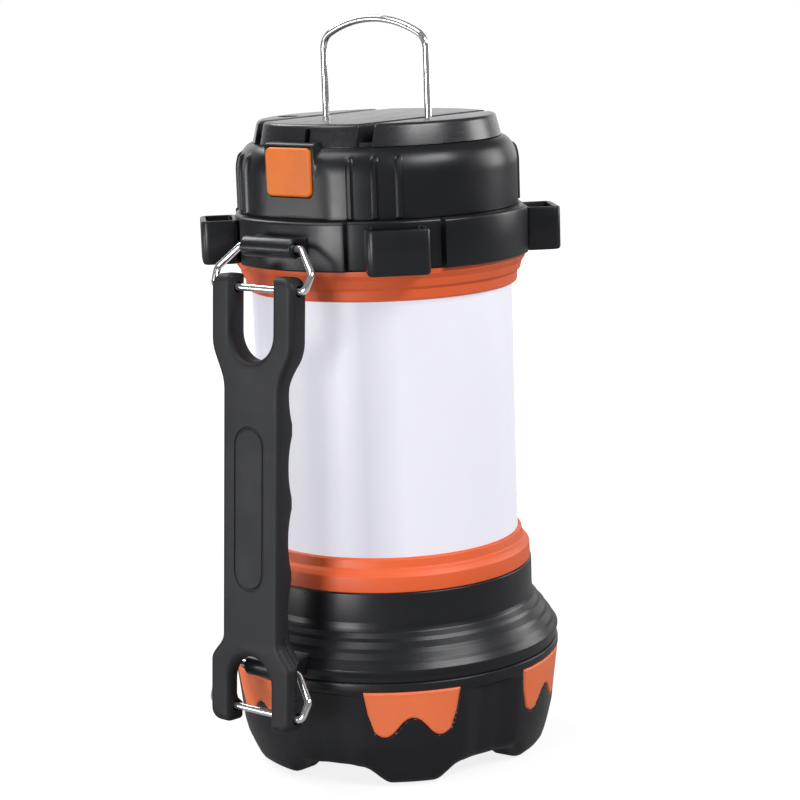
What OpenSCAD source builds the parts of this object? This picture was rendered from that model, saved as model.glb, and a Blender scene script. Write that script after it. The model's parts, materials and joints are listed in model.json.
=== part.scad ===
// Lantern with a searchlight head in its base, a frosted lantern tube, a folding wire bail and a
// strap handle on two wire rings. Millimetres, +Z up, origin on the lantern's axis in the plane of
// the feet. The handle and the push button face -Y.

/* [Body heights] */
// Height of the scalloped crown round the searchlight's mouth
crown_h = 31; // [30.5:0.5:31.5]
// Height of the cone shaped searchlight head above the crown
head_h = 23.5; // [23:0.5:24]
// Height of the lower coloured ring
lower_ring_h = 9.3; // [9:0.1:9.6]
// Height of the lantern tube that shows between the coloured rings
glass_h = 70.8; // [65:0.2:78]
// Height of the upper coloured ring
upper_ring_h = 8.7; // [8.5:0.1:9]
// Height of the collar that carries the grip blocks
collar_h = 13.4; // [13.2:0.1:13.8]
// Height of the dome above the collar
dome_h = 19.1; // [19:0.1:19.4]
// Height of the raised top plate
plate_h = 6.2; // [6:0.1:6.6]

/* [Body radii] */
// Largest radius of the crown and the head
crown_r = 47.8; // [47.4:0.1:48.2]
// Outer radius of the lantern tube
glass_r = 36.9; // [36.8:0.1:37]
// Outer radius of the collar between its blocks
collar_r = 42.4; // [42.2:0.1:42.6]
// Outer radius of the dome
dome_r = 39.2; // [39:0.1:39.9]
// Radius of the top plate at its foot
plate_r = 34.5; // [34.3:0.1:34.6]
// Thickness of the lantern tube's wall
glass_wall = 1.8; // [1.6:0.1:2]

/* [Crown] */
// Number of lobes round the crown, each with a foot and a coloured patch
lobes = 6; // [5:1:6]
// Width of one lobe in degrees
lobe_angle = 37; // [35:1:38]
// Depth of the valleys between the lobes
valley_depth = 1.8; // [1.2:0.1:2]
// Width of one foot in degrees
foot_angle = 32; // [30:1:34]
// Height of the gaps between the feet
foot_gap_h = 4.8; // [4:0.2:5.5]
// Width of a coloured patch at its top edge
patch_w = 27; // [25:0.5:28]
// Radius of the searchlight's mouth
mouth_r = 31.5; // [31:0.1:32]

/* [Grip blocks] */
// Distance from the axis to the outer face of a block
block_r = 50.5; // [49.5:0.5:51]
// Width of a block
block_w = 16.9; // [16:0.1:18]

/* [Bail] */
// Diameter of the bail's wire
bail_wire = 2; // [1.8:0.1:2.2]
// Distance from the axis to a leg of the bail
bail_x = 18.5; // [18:0.1:19]
// Height of the bail's top above the feet
bail_top_z = 210; // [208:0.5:212]
// Radius of the bail's corners
bail_corner_r = 5; // [4:0.5:6]
// Radius of the bail's arched crosspiece
bail_arch_r = 34; // [32:1:40]
// Width of the grooves that the bail's legs fold into
groove_w = 4.6; // [4:0.1:5]

/* [Strap handle] */
// Width of the forked ends of the handle
fork_w = 29; // [28.6:0.1:29.2]
// Width of the slot between the tines of a fork
slot_w = 15; // [14.8:0.1:15.2]
// Width of the handle's middle
strap_w = 20.4; // [19:0.2:22]
// Thickness of the handle
strap_t = 7; // [6.6:0.1:7.2]
// Depth of the upper fork's slot
upper_slot = 23; // [21:0.5:24]
// Depth of the lower fork's slot
lower_slot = 19.5; // [19:0.5:20]
// Spacing of the finger grooves
finger_pitch = 20; // [18:0.5:21]
// Diameter of the wire rings
ring_wire = 2; // [1.8:0.1:2]

/* [Button] */
// Width of the push button
button_w = 16; // [15:0.5:16]
// Height of the push button
button_h = 13.2; // [12:0.2:13.4]
// Travel of the push button
button_travel = 1; // [0.6:0.1:1]

/* [Hidden] */
$fn = 96;

eps = 0.5;
run_gap = 0.06;
wire_bead = 0.03;

// Heights of the joints between the stacked housings
z_head = crown_h;
z_lower_ring = z_head + head_h;
z_glass = z_lower_ring + lower_ring_h;
z_upper_ring = z_glass + glass_h;
z_collar = z_upper_ring + upper_ring_h;
z_dome = z_collar + collar_h;
z_plate = z_dome + dome_h;
z_top = z_plate + plate_h;

// Crown and searchlight
first_lobe = 45;
lobe_pitch = 360 / lobes;
valley_angle = lobe_pitch - lobe_angle;
patch_top_z = crown_h - 2.5;
patch_lobe_z = 15.1;
patch_notch_z = 20.7;
patch_lobe_x = 7.8;
patch_depth = 1;
patch_proud = 0.2;
window_r = 34;
window_t = 2.6;
gasket_t = 0.6;
seat_z = 15;
window_z = seat_z + gasket_t;
seat_r = 34.2;
seat_wall = 2.6;
neck_r = 42.3;
neck_gap = 0.3;
neck_depth = 10;
reflector_t = 1.2;
reflector_z = window_z + window_t;
reflector_rim_r = 31;
reflector_neck_r = 7;
reflector_h = 26;
sink_r = 37.4;
sink_t = 3;
sink_ledge_r = 33.2;
sink_screw_at = 35.4;
sink_z = z_lower_ring - 7.5;
led_board_t = 1.6;
led_board_z = sink_z - led_board_t;
fin_h = 5;

// Lantern chamber
deck_t = 3;
deck_r = glass_r - glass_wall - 0.2;
flange_t = 2.5;
seal_t = 0.8;
z_lower_deck = z_lower_ring + flange_t;
z_column = z_lower_deck + deck_t;
z_upper_flange = z_collar - 2.9;
z_upper_deck = z_upper_flange - deck_t;
column_size = [44, 25];
column_wall = 2;
strip_t = 1.2;
strip_w = 12;
strip_l = z_upper_deck - z_column - 6;
led_size = 3;
led_t = 0.7;
leds_per_strip = 7;
cell_r = 9.15;
cell_l = 65;
cell_x = 9.7;
link_t = 0.3;
tray_h = 6;
tray_floor = 2;
wire_r = 0.7;
wire_y = 8.8;
wire_x = 1.3;

// Collar, dome and top
block_azimuths = [-135, -45, 45, 135];
block_z = z_collar - 0.3;
block_h = collar_h - 1.2;
recess_r = collar_r - 1.8;
recess_angle = 37;
block_wall = 1.6;
block_pocket = 5;
dome_wall = 2.2;
shoulder_z = z_plate - 7.8;
dome_top_r = plate_r + 0.3;
rib_azimuths = [28, 38, 47.5];
rib_w = 1.8;
rib_proud = 0.8;
rib_top_z = z_plate - 2.6;
pad_y = 37.6;
boss_half_w = 9;
boss_top_z = z_plate + 1.5;
button_z = z_plate - 6.3;
button_gap = 0.3;
button_proud = 0.8;
button_back = 35.7;
button_corner = 1.6;
stem_r = 2;
stem_z = button_z - 2;
seal_y = 33;
switch_y = 29.3;
board_r = 34;
board_t = 1.6;
board_z = z_dome + 1.9;
post_r = 31;
post_azimuths = [-60, 60, 180];
board_azimuths = [-60, 60, 150];
port_z = board_z + board_t + 1.7;
port_pad_y = 38.2;
port_w = 12;
port_h = 6.6;
cover_w = 17;
cover_h = 9.6;
cover_t = 1.6;
cover_bottom = port_z - 4.6;
plug_r = 31;
bail_r = bail_wire / 2;
bail_pivot_z = z_top - 2.8;
bail_end_x = bail_x + 5;
groove_floor_z = bail_pivot_z - 2.2;
indicator_at = [-26, -8];
slit_azimuth = 6;

// Strap linkage: each ring turns in a lug on the body and in a hole through the handle's fork
upper_lug = [0, -46.2, z_collar + 6.9];
ring_vector = [0, -5.6, -10.4];
ring_l = norm(ring_vector);
lower_hole = [0, -60, 24.6];
lower_lug = lower_hole - ring_vector;
upper_hole = upper_lug + ring_vector;
hole_span = norm(upper_hole - lower_hole);
strap_tilt = atan2(upper_hole.y - lower_hole.y, upper_hole.z - lower_hole.z);
ring_tilt = atan2(-ring_vector.y, -ring_vector.z);
lug_r = 2.8;
upper_lug_half = 9;
lower_lug_half = 6.9;
ring_r = ring_wire / 2;
ring_wide_x = 17;
ring_wide_v = 6.8;
ring_foot_x = fork_w / 2 + 1.9;
ring_head_x = upper_lug_half + 1.9;
ring_ball = 1.45 * ring_wire / 2;
lower_end = -4.2;
upper_end = hole_span + 3.6;
upper_flare = [17.5, 13.5];
lower_flare = [17, 7.5];
tine_corner = 3;
relief_depth = 2.6;
relief_from = 1.6;
relief_l = 13;
oval = [10.8, 45];
oval_at = 56;
oval_line = 0.7;
finger_depth = 1.5;
finger_count = 4;
first_finger = 28;
lower_play = 0.35;

plastic = [0.12, 0.12, 0.14];
orange = [0.89, 0.38, 0.2];
steel = [0.78, 0.79, 0.8];
white = [0.94, 0.94, 0.95];
rubber = [0.16, 0.16, 0.17];
board_green = [0.1, 0.33, 0.2];

// Turns children about the axis: azimuth 0 faces -Y and positive angles go toward +X
module around(azimuth) {
    rotate([0, 0, azimuth]) children();
}

// Ring with a rectangular section
module ring(r_in, r_out, z, h) {
    translate([0, 0, z]) rotate_extrude() translate([r_in, 0]) square([r_out - r_in, h]);
}

// Part of a turned shape, centred on an azimuth
module sector(azimuth, angle) {
    rotate([0, 0, azimuth - 90 - angle / 2]) rotate_extrude(angle = angle) children();
}

// Straight round bar from one point to another
module bar(from, to, r) {
    d = to - from;
    translate(from)
        rotate([0, acos(d.z / norm(d)), atan2(d.y, d.x)])
            cylinder(r = r, h = norm(d));
}

// Round bar that bends at each of its points, with ball corners
module bent_bar(points, r) {
    for (i = [0:len(points) - 2]) bar(points[i], points[i + 1], r);
    for (i = [1:len(points) - 2]) translate(points[i]) sphere(r = r);
}

// Direction from one point to another
function toward(from, to) = (to - from) / norm(to - from);

// Wire through a closed loop of points, with a ball at each corner that its bars run into
module wire_loop(points, r, ball) {
    trim = 0.9 * r;
    for (i = [0:len(points) - 1]) {
        next = points[(i + 1) % len(points)];
        along = toward(points[i], next);
        bar(points[i] + trim * along, next - trim * along, r);
        translate(points[i]) sphere(r = ball);
    }
}

module rounded_rect(w, h, r) {
    square([w - 2 * r, h], center = true);
    square([w, h - 2 * r], center = true);
    for (x = [-1, 1], y = [-1, 1])
        translate([x * (w / 2 - r), y * (h / 2 - r)]) circle(r = r);
}

// Pan head screw with its head's seat at z = 0 and its shank going down
module screw(d, l) {
    difference() {
        cylinder(d = 2 * d, h = 0.6 * d);
        translate([0, 0, 0.6 * d]) cube([1.4 * d, 0.25 * d, 0.5 * d], center = true);
    }
    translate([0, 0, -l]) cylinder(d = d, h = l);
}

// Points on an arc, with both ends
function arc(c, r, a0, a1, n) =
    [for (i = [0:n]) let (a = a0 + (a1 - a0) * i / n) c + r * [cos(a), sin(a)]];

// Outline from the crown's foot to its top edge, moved inward by an inset
function crown_side(inset) = [
    [39.5 - inset, 0], [42.6 - inset, 1.8], [45.7 - inset, 12],
    [crown_r - 0.4 - inset, crown_h - 4]];

module crown_outline(inset) {
    polygon(concat(
        [[33.5, 0]], crown_side(inset),
        [[crown_r, crown_h - 2], [crown_r, crown_h],
         [neck_r + neck_gap, crown_h], [neck_r + neck_gap, crown_h - neck_depth - 1],
         [40.5, crown_h - neck_depth - 1.5], [38.6, 9], [seat_r + seat_wall, 7],
         [seat_r + seat_wall, window_z + window_t + 1], [seat_r, window_z + window_t + 1],
         [seat_r, seat_z], [mouth_r, seat_z], [mouth_r, seat_z - 3]]));
}

// Flat outline of a coloured patch, with two rounded waves at its lower edge
module patch_outline(grow) {
    half = patch_w / 2 + grow;
    wave = (patch_notch_z - patch_lobe_z) / 2;
    mid = (patch_notch_z + patch_lobe_z) / 2;
    steps = 24;
    polygon(concat(
        [[-half, patch_top_z + grow], [-half + 1.2, mid + 4]],
        [for (i = [0:steps])
            let (x = -10.6 - grow + (21.2 + 2 * grow) * i / steps)
            [x, mid - grow + wave * cos(180 * x / patch_lobe_x)]],
        [[half - 1.2, mid + 4], [half, patch_top_z + grow]]));
}

// Band of the crown's surface between two depths below the lobes
module lobe_skin(out, depth) {
    rotate_extrude() polygon([
        for (p = crown_side(-out)) p,
        [crown_r + out, crown_h], [crown_r - depth, crown_h],
        for (i = [3:-1:0]) crown_side(depth)[i]]);
}

module crown_bezel() color(plastic) {
    difference() {
        rotate_extrude() crown_outline(0);
        for (i = [0:lobes - 1]) {
            valley = first_lobe + (i + 0.5) * lobe_pitch;
            sector(valley, valley_angle) polygon(concat(
                [[crown_r + 2, -1], [39.5 - valley_depth, -1]],
                crown_side(valley_depth), [[crown_r + 2, crown_h - 3]]));
            sector(valley, lobe_pitch - foot_angle)
                translate([32, -1]) square([20, foot_gap_h + 1]);
            around(first_lobe + i * lobe_pitch) intersection() {
                translate([0, -30, 0]) rotate([90, 0, 0])
                    linear_extrude(height = 30) patch_outline(0.12);
                lobe_skin(1, patch_depth);
            }
        }
    }
}

module crown_insert(i) color(orange) {
    around(first_lobe + (i - 1) * lobe_pitch) intersection() {
        translate([0, -30, 0]) rotate([90, 0, 0])
            linear_extrude(height = 30) patch_outline(0);
        lobe_skin(patch_proud, patch_depth);
    }
}

module beam_window() color([0.8, 0.88, 0.92, 0.4]) {
    translate([0, 0, window_z]) cylinder(r = window_r, h = window_t);
}

module window_gasket() color(rubber) {
    ring(mouth_r + 0.4, window_r, window_z - gasket_t, gasket_t);
}

// Height of the reflector's surface at a radius: a parabola from its rim to its neck
function reflector_at(r) = reflector_z
    + reflector_h * (pow(reflector_rim_r, 2) - r * r)
    / (pow(reflector_rim_r, 2) - pow(reflector_neck_r, 2));

module reflector() color([0.86, 0.87, 0.88]) {
    steps = 16;
    rotate_extrude() polygon(concat(
        [for (i = [0:steps])
            let (r = reflector_rim_r + (reflector_neck_r - reflector_rim_r) * i / steps)
            [r, reflector_at(r)]],
        [for (i = [steps:-1:1])
            let (r = reflector_rim_r + (reflector_neck_r - reflector_rim_r) * i / steps)
            [r + reflector_t, reflector_at(r) + reflector_t * 0.3]],
        [[reflector_rim_r + reflector_t, reflector_z + 1.2], [window_r, reflector_z + 1.2],
         [window_r, reflector_z]]));
}

module spot_led() color([0.95, 0.85, 0.35]) {
    translate([0, 0, led_board_z - 0.6]) cube([7, 7, 1.2], center = true);
    translate([0, 0, led_board_z - 1.2]) difference() {
        sphere(r = 2.6);
        translate([-3, -3, 0.1]) cube([6, 6, 3]);
    }
}

module spot_led_board() color(white) {
    translate([0, 0, led_board_z]) cylinder(r = 12, h = led_board_t);
}

module heat_sink() color([0.7, 0.71, 0.73]) {
    difference() {
        union() {
            translate([0, 0, sink_z]) cylinder(r = sink_r, h = sink_t);
            for (r = [13, 18, 23, 28])
                ring(r, r + 1.2, sink_z + sink_t - eps, fin_h + eps);
        }
        translate([0, wire_y, sink_z - 1]) cylinder(d = 5, h = sink_t + 2);
        for (a = post_azimuths)
            around(a) translate([0, -sink_screw_at, sink_z - 1]) cylinder(d = 2.2, h = sink_t + 2);
    }
}

module heat_sink_screws() color(steel) {
    for (a = post_azimuths)
        around(a) translate([0, -sink_screw_at, sink_z + sink_t]) screw(2, 5);
}

// Socket that a ring turns in: a tube on a web that reaches back into the housing
module lug(at, half, back_y) {
    translate(at) rotate([0, 90, 0]) cylinder(r = lug_r, h = 2 * half, center = true);
    translate([-half, at.y, at.z - lug_r + 0.6])
        cube([2 * half, back_y - at.y, 2 * lug_r - 1.2]);
}

module lug_bore(at) {
    translate(at) rotate([0, 90, 0])
        cylinder(r = ring_r + run_gap, h = 30, center = true);
}

module head_housing() color(plastic) {
    bore = neck_r - 2.5;
    difference() {
        union() {
            rotate_extrude() polygon([
                [bore, z_head - neck_depth], [neck_r, z_head - neck_depth],
                [neck_r, z_head], [crown_r - 0.6, z_head], [crown_r - 0.6, z_head + 1.5],
                [crown_r, z_head + 3], [crown_r, z_head + 3.6],
                [46.7, z_head + 5.2], [46.2, z_head + 6.2], [44.9, z_head + 7.8],
                [44.4, z_head + 8.8], [42.9, z_head + 10.4], [42.4, z_head + 11.3],
                [41.2, z_head + 12.6], [40.8, z_head + 13.7], [40.6, z_head + 15.2],
                [40.6, z_lower_ring],
                [sink_r + 0.3, z_lower_ring], [sink_r + 0.3, sink_z], [sink_ledge_r, sink_z],
                [sink_ledge_r, sink_z - 3], [38.4, sink_z - 6], [bore, sink_z - 8]]);
            lug(lower_lug, lower_lug_half, -44);
        }
        lug_bore(lower_lug);
        cylinder(r = bore, h = sink_z - 8);
        for (a = post_azimuths)
            around(a) translate([0, -sink_screw_at, sink_z - 3]) cylinder(d = 2.2, h = 4);
        ring(neck_r - 1, neck_r + 1, z_head - 5, 1.6);
    }
}

module head_o_ring() color(rubber) {
    ring(neck_r - 0.95, neck_r + neck_gap - 0.02, z_head - 4.9, 1.4);
}

module lower_trim_ring() color(orange) {
    difference() {
        rotate_extrude() polygon([
            [31, z_lower_ring], [40.3, z_lower_ring], [40.1, z_lower_ring + 4.4],
            [39.2, z_lower_ring + 5.6], [38.2, z_lower_ring + 6.4],
            [37.9, z_glass - 0.6], [37.3, z_glass], [glass_r + 0.05, z_glass],
            [glass_r + 0.05, z_lower_deck], [31, z_lower_deck]]);
        for (a = post_azimuths)
            around(a) translate([0, -33, z_lower_ring - 1]) cylinder(d = 2.2, h = 8);
    }
}

module lower_seal() color(rubber) {
    ring(glass_r - glass_wall, glass_r, z_lower_deck, seal_t);
}

module lower_deck() color(white) {
    difference() {
        translate([0, 0, z_lower_deck]) cylinder(r = deck_r, h = deck_t);
        translate([0, wire_y, z_lower_deck - 1]) cylinder(d = 5, h = deck_t + 2);
        for (a = post_azimuths)
            around(a) translate([0, -33, z_lower_deck - 1]) cylinder(d = 2.2, h = 8);
    }
}

module deck_screws() color(steel) {
    for (a = post_azimuths)
        around(a) translate([0, -33, z_column]) screw(2, 5);
}

module diffuser() color([0.95, 0.95, 0.98]) {
    ring(glass_r - glass_wall, glass_r, z_lower_deck + seal_t,
        z_upper_flange - z_lower_deck - 2 * seal_t);
}

module led_column() color(white) {
    difference() {
        translate([-column_size.x / 2, -column_size.y / 2, z_column])
            cube([column_size.x, column_size.y, z_upper_deck - z_column]);
        translate([-column_size.x / 2 + column_wall, -column_size.y / 2 + column_wall,
                z_column - 1])
            cube([column_size.x - 2 * column_wall, column_size.y - 2 * column_wall,
                z_upper_deck - z_column + 2]);
    }
}

// Places children on one of the column's four faces, with -Y outward
module on_face(i) {
    out = i % 2 == 1 ? column_size.y / 2 : column_size.x / 2;
    around(90 * (i - 1)) translate([0, -out, (z_column + z_upper_deck) / 2]) children();
}

module led_strip(i) color(board_green) {
    on_face(i) translate([-strip_w / 2, -strip_t, -strip_l / 2])
        cube([strip_w, strip_t, strip_l]);
}

module lantern_leds() color([0.96, 0.9, 0.6]) {
    for (i = [1:4], k = [0:leds_per_strip - 1])
        on_face(i)
            translate([-led_size / 2, -strip_t - led_t,
                    (k - (leds_per_strip - 1) / 2) * strip_l / leds_per_strip - led_size / 2])
                cube([led_size, led_t, led_size]);
}

module battery_tray() color([0.25, 0.25, 0.27]) {
    difference() {
        translate([-19.8, -10.3, z_column]) cube([39.6, 20.6, tray_h]);
        for (x = [-cell_x, cell_x])
            translate([x, 0, z_column + tray_floor]) cylinder(r = cell_r + 0.1, h = tray_h);
        translate([-15, -4, z_column + tray_floor]) cube([30, 8, tray_h]);
        translate([-3, wire_y - 2.2, z_column - 1]) cube([6, 5, tray_h + 2]);
    }
}

module battery_cell(x) color([0.2, 0.45, 0.7]) {
    z = z_column + tray_floor + link_t;
    translate([x, 0, z]) cylinder(r = cell_r, h = cell_l - 1);
    translate([x, 0, z]) cylinder(r = 3, h = cell_l);
}

module battery_links() color(steel) {
    z = z_column + tray_floor;
    translate([-14, -3.5, z]) cube([28, 7, link_t]);
    for (x = [-cell_x, cell_x])
        translate([x - 3.5, -3.5, z + link_t + cell_l]) cube([7, 7, link_t]);
}

module battery_clamp() color([0.25, 0.25, 0.27]) {
    z = z_column + tray_floor + 2 * link_t + cell_l;
    difference() {
        translate([-19.8, -10.3, z]) cube([39.6, 20.6, 4]);
        translate([-3, wire_y - 2.2, z - 1]) cube([6, 5, 6]);
        for (x = [-cell_x, cell_x]) translate([x, 0, z - 1]) cylinder(r = 1.2, h = 6);
    }
}

// Leads from the cells' links up to the control board
module lantern_wiring() color([0.7, 0.1, 0.1]) {
    z = z_column + tray_floor + 2 * link_t + cell_l;
    for (x = [-cell_x, cell_x]) bar([x, 0, z], [x, 0, board_z], wire_r);
}

// Leads from the searchlight's board up to the control board
module spot_wiring() color([0.1, 0.1, 0.1]) {
    for (x = [-wire_x, wire_x]) bar([x, wire_y, sink_z], [x, wire_y, board_z], wire_r);
}

module upper_deck() color(white) {
    difference() {
        translate([0, 0, z_upper_deck]) cylinder(r = deck_r, h = deck_t);
        for (x = [-cell_x, cell_x])
            translate([x, 0, z_upper_deck - 1]) cylinder(r = 1.5, h = deck_t + 2);
        translate([0, wire_y, z_upper_deck - 1]) cylinder(d = 5, h = deck_t + 2);
    }
}

module upper_seal() color(rubber) {
    ring(glass_r - glass_wall, glass_r, z_upper_flange - seal_t, seal_t);
}

module upper_trim_ring() color(orange) {
    rotate_extrude() polygon([
        [glass_r + 0.05, z_upper_ring], [37.7, z_upper_ring], [38.3, z_upper_ring + 0.5],
        [38.5, z_upper_ring + 3.2], [39.4, z_upper_ring + 4], [39.9, z_upper_ring + 6],
        [40.9, z_upper_ring + 7.4], [40.9, z_collar], [31, z_collar],
        [31, z_upper_flange], [glass_r + 0.05, z_upper_flange]]);
}

// Grip block on the collar: a box with thin walls that is open at its top
module grip_block() {
    difference() {
        translate([-block_w / 2, -block_r, block_z])
            cube([block_w, block_r - recess_r + 1.4, block_h]);
        ring(30, recess_r + 0.5, block_z - 1, 2);
        translate([-block_w / 2 + block_wall, -block_r + block_wall,
                block_z + block_h - block_pocket])
            cube([block_w - 2 * block_wall, block_r - recess_r - block_wall - 1,
                block_pocket + 1]);
        for (x = [-1, 1])
            translate([x * block_w / 2, -block_r, block_z + block_h / 2])
                rotate([0, 0, 45]) cube([1.6, 1.6, block_h + 2], center = true);
    }
}

module collar() color(plastic) {
    difference() {
        union() {
            difference() {
                ring(38, collar_r, z_collar, collar_h);
                for (a = block_azimuths)
                    sector(a, recess_angle) translate([recess_r, z_collar - 1])
                        square([3, collar_h + 2]);
            }
            for (a = block_azimuths) around(a) grip_block();
            ring(28, 38.5, z_collar, 2);
            for (a = board_azimuths)
                around(a) translate([0, -post_r, z_collar]) cylinder(r = 2.6, h = board_z - z_collar);
            lug(upper_lug, upper_lug_half, -39);
        }
        lug_bore(upper_lug);
        for (a = board_azimuths)
            around(a) translate([0, -post_r, board_z - 6]) cylinder(r = 1, h = 7);
        for (a = block_azimuths) around(a) {
            translate([0, -46, block_z - 1]) cylinder(r = 1.25, h = 9);
            translate([0, -46, block_z - 1]) cylinder(r = 2.8, h = 3);
        }
    }
}

module collar_screws() color(steel) {
    for (a = block_azimuths)
        around(a) translate([0, -46, block_z + 2]) rotate([180, 0, 0]) screw(2.4, 6);
}

module control_board() color(board_green) {
    difference() {
        translate([0, 0, board_z]) cylinder(r = board_r, h = board_t);
        for (a = board_azimuths)
            around(a) translate([0, -post_r, board_z - 1]) cylinder(r = 1.05, h = 4);
    }
    for (p = [[-12, -8, 7, 7, 1.6], [10, 6, 5, 9, 1.4], [-14, 12, 4, 4, 3], [16, -12, 3, 6, 1.2]])
        translate([p[0], p[1], board_z + board_t]) cube([p[2], p[3], p[4]]);
}

module board_screws() color(steel) {
    for (a = board_azimuths)
        around(a) translate([0, -post_r, board_z + board_t]) screw(2, 5);
}

// Right angle switch on a small upright board behind the button
module tactile_switch() color([0.3, 0.3, 0.32]) {
    translate([-7, -switch_y + 2.6, board_z + board_t]) cube([14, 1.6, stem_z + 5 - board_z - board_t]);
    translate([-3, -switch_y + 0.6, stem_z - 3]) cube([6, 2, 6]);
    translate([0, -switch_y + 0.6, stem_z]) rotate([90, 0, 0]) cylinder(r = 1.4, h = 0.6);
}

module charging_socket() color(steel) {
    difference() {
        translate([-4.5, port_pad_y - 8.4, board_z + board_t]) cube([9, 6, 3.4]);
        translate([-3.9, port_pad_y - 7.4, board_z + board_t + 0.6]) cube([7.8, 6, 2.2]);
    }
    translate([-2.8, port_pad_y - 8, board_z + board_t + 1.4]) cube([5.6, 4.6, 0.6]);
}

// Outline of the dome's shoulder, moved outward by an amount
function shoulder(grow) =
    [for (i = [0:12]) let (a = 90 * i / 12)
        [dome_top_r + (dome_r - dome_top_r + grow) * cos(a),
         shoulder_z + (z_plate - shoulder_z + grow) * sin(a)]];

module dome_solid(grow) {
    rotate_extrude() polygon(concat(
        [[0, z_dome], [dome_r + grow, z_dome]], shoulder(grow), [[0, z_plate + grow]]));
}

module dome_housing() color(plastic) {
    difference() {
        union() {
            difference() {
                dome_solid(0);
                translate([-15, -60, z_dome - 1]) cube([30, 60 - pad_y, dome_h + 3]);
                translate([-cover_w / 2 - 1, port_pad_y, z_dome - 1]) cube([cover_w + 2, 20, 12.6]);
            }
            intersection() {
                dome_solid(rib_proud);
                for (side = [0, 180], s = [-1, 1], a = rib_azimuths)
                    around(side + s * a) translate([-rib_w / 2, -dome_r - 2, z_dome + 0.4])
                        cube([rib_w, 4, rib_top_z - z_dome]);
            }
            translate([-boss_half_w, -pad_y, shoulder_z])
                cube([2 * boss_half_w, 6, boss_top_z - shoulder_z]);
        }
        rotate_extrude() polygon([
            [0, z_dome - 1], [dome_r - dome_wall, z_dome - 1], [dome_r - dome_wall, shoulder_z],
            [dome_r - dome_wall - 1, shoulder_z + 3], [dome_top_r - dome_wall, z_plate - dome_wall],
            [0, z_plate - dome_wall]]);
        cylinder(r = plug_r, h = z_top);
        ring(0, plate_r + 0.1, z_plate, plate_h);
        translate([0, 0, button_z]) rotate([90, 0, 0]) linear_extrude(height = 60)
            rounded_rect(button_w + 2 * button_gap, button_h + 2 * button_gap,
                button_corner + button_gap);
        translate([-port_w / 2, 25, port_z - 2.9]) cube([port_w, 20, port_h]);
    }
}

module plate_screws() color(steel) {
    for (a = [-90, 90, 180]) around(a)
        translate([0, -27, z_plate - dome_wall]) rotate([180, 0, 0]) screw(2, 4);
}

module top_plate() color(plastic) {
    difference() {
        union() {
            rotate_extrude() polygon([
                [0, z_plate], [plate_r, z_plate], [plate_r - 1.3, z_top - 0.8],
                [plate_r - 2, z_top], [0, z_top]]);
            translate([0, 0, z_plate - dome_wall]) cylinder(r = plug_r - 0.1, h = dome_wall + eps);
        }
        for (s = [-1, 1]) {
            translate([s * bail_x - groove_w / 2, -40, groove_floor_z])
                cube([groove_w, 80, plate_h]);
        }
        translate([-bail_end_x - 0.5, 0, bail_pivot_z]) rotate([0, 90, 0])
            cylinder(r = bail_r + run_gap, h = 2 * bail_end_x + 1);
        translate([0, 0, z_plate - dome_wall - 1]) cylinder(r = 13, h = dome_wall + 2);
        for (a = [-90, 90, 180]) around(a)
            translate([0, -27, z_plate - dome_wall - 1]) cylinder(r = 1, h = 5);
        translate([indicator_at.x, indicator_at.y, z_top - 2]) cylinder(r = 2.1, h = 3);
        around(slit_azimuth) translate([-0.8, -40, z_plate + 0.6]) cube([1.6, 8.5, 4.4]);
    }
}

module charge_indicator() color([0.85, 0.9, 0.9]) {
    translate([indicator_at.x, indicator_at.y, z_top - 2]) cylinder(r = 2, h = 1.7);
}

module button() color(orange) {
    translate([0, -button_back, button_z]) rotate([90, 0, 0])
        linear_extrude(height = pad_y + button_proud - button_back)
            rounded_rect(button_w, button_h, button_corner);
    bar([0, -switch_y - button_travel - 0.4, stem_z], [0, -button_back - 1, stem_z], stem_r);
}

module button_seal() color(rubber) {
    difference() {
        translate([-9, -seal_y, stem_z - 5.5]) cube([18, 0.8, 10]);
        translate([0, -seal_y + 2, stem_z]) rotate([90, 0, 0]) cylinder(r = stem_r + 0.4, h = 4);
    }
}

// Rubber flap over the charging socket, with a stub that plugs the opening
module port_cover() color(rubber) {
    hinge_r = cover_t / 2;
    translate([-cover_w / 2, port_pad_y + 0.35, cover_bottom + hinge_r])
        cube([cover_w, cover_t, cover_h - hinge_r]);
    translate([0, port_pad_y + 0.35 + hinge_r, cover_bottom + hinge_r]) rotate([0, 90, 0])
        cylinder(r = hinge_r, h = cover_w, center = true);
    translate([-port_w / 2 + 0.5, port_pad_y - 1.6, port_z - 2.3])
        cube([port_w - 1, 2, port_h - 1.6]);
}

module bail() color(steel) {
    arch_z = bail_top_z - bail_r - bail_arch_r;
    corner_x = bail_x - bail_corner_r;
    corner_z = arch_z + sqrt(pow(bail_arch_r - bail_corner_r, 2) - pow(corner_x, 2));
    turn = atan2(corner_z - arch_z, corner_x);
    for (s = [-1, 1]) {
        bent_bar([[s * bail_end_x, 0, bail_pivot_z], [s * bail_x, 0, bail_pivot_z],
            [s * bail_x, 0, corner_z]], bail_r);
        mirror([s > 0 ? 0 : 1, 0, 0]) translate([corner_x, 0, corner_z]) rotate([90, 0, 0])
            rotate_extrude(angle = turn) translate([bail_corner_r, 0]) circle(r = bail_r);
        for (a = [0, turn])
            translate([s * (corner_x + bail_corner_r * cos(a)), 0, corner_z + bail_corner_r * sin(a)])
                sphere(r = bail_r + wire_bead);
    }
    translate([0, 0, arch_z]) rotate([90, 0, 0]) rotate([0, 0, turn])
        rotate_extrude(angle = 180 - 2 * turn) translate([bail_arch_r, 0]) circle(r = bail_r);
}

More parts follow.
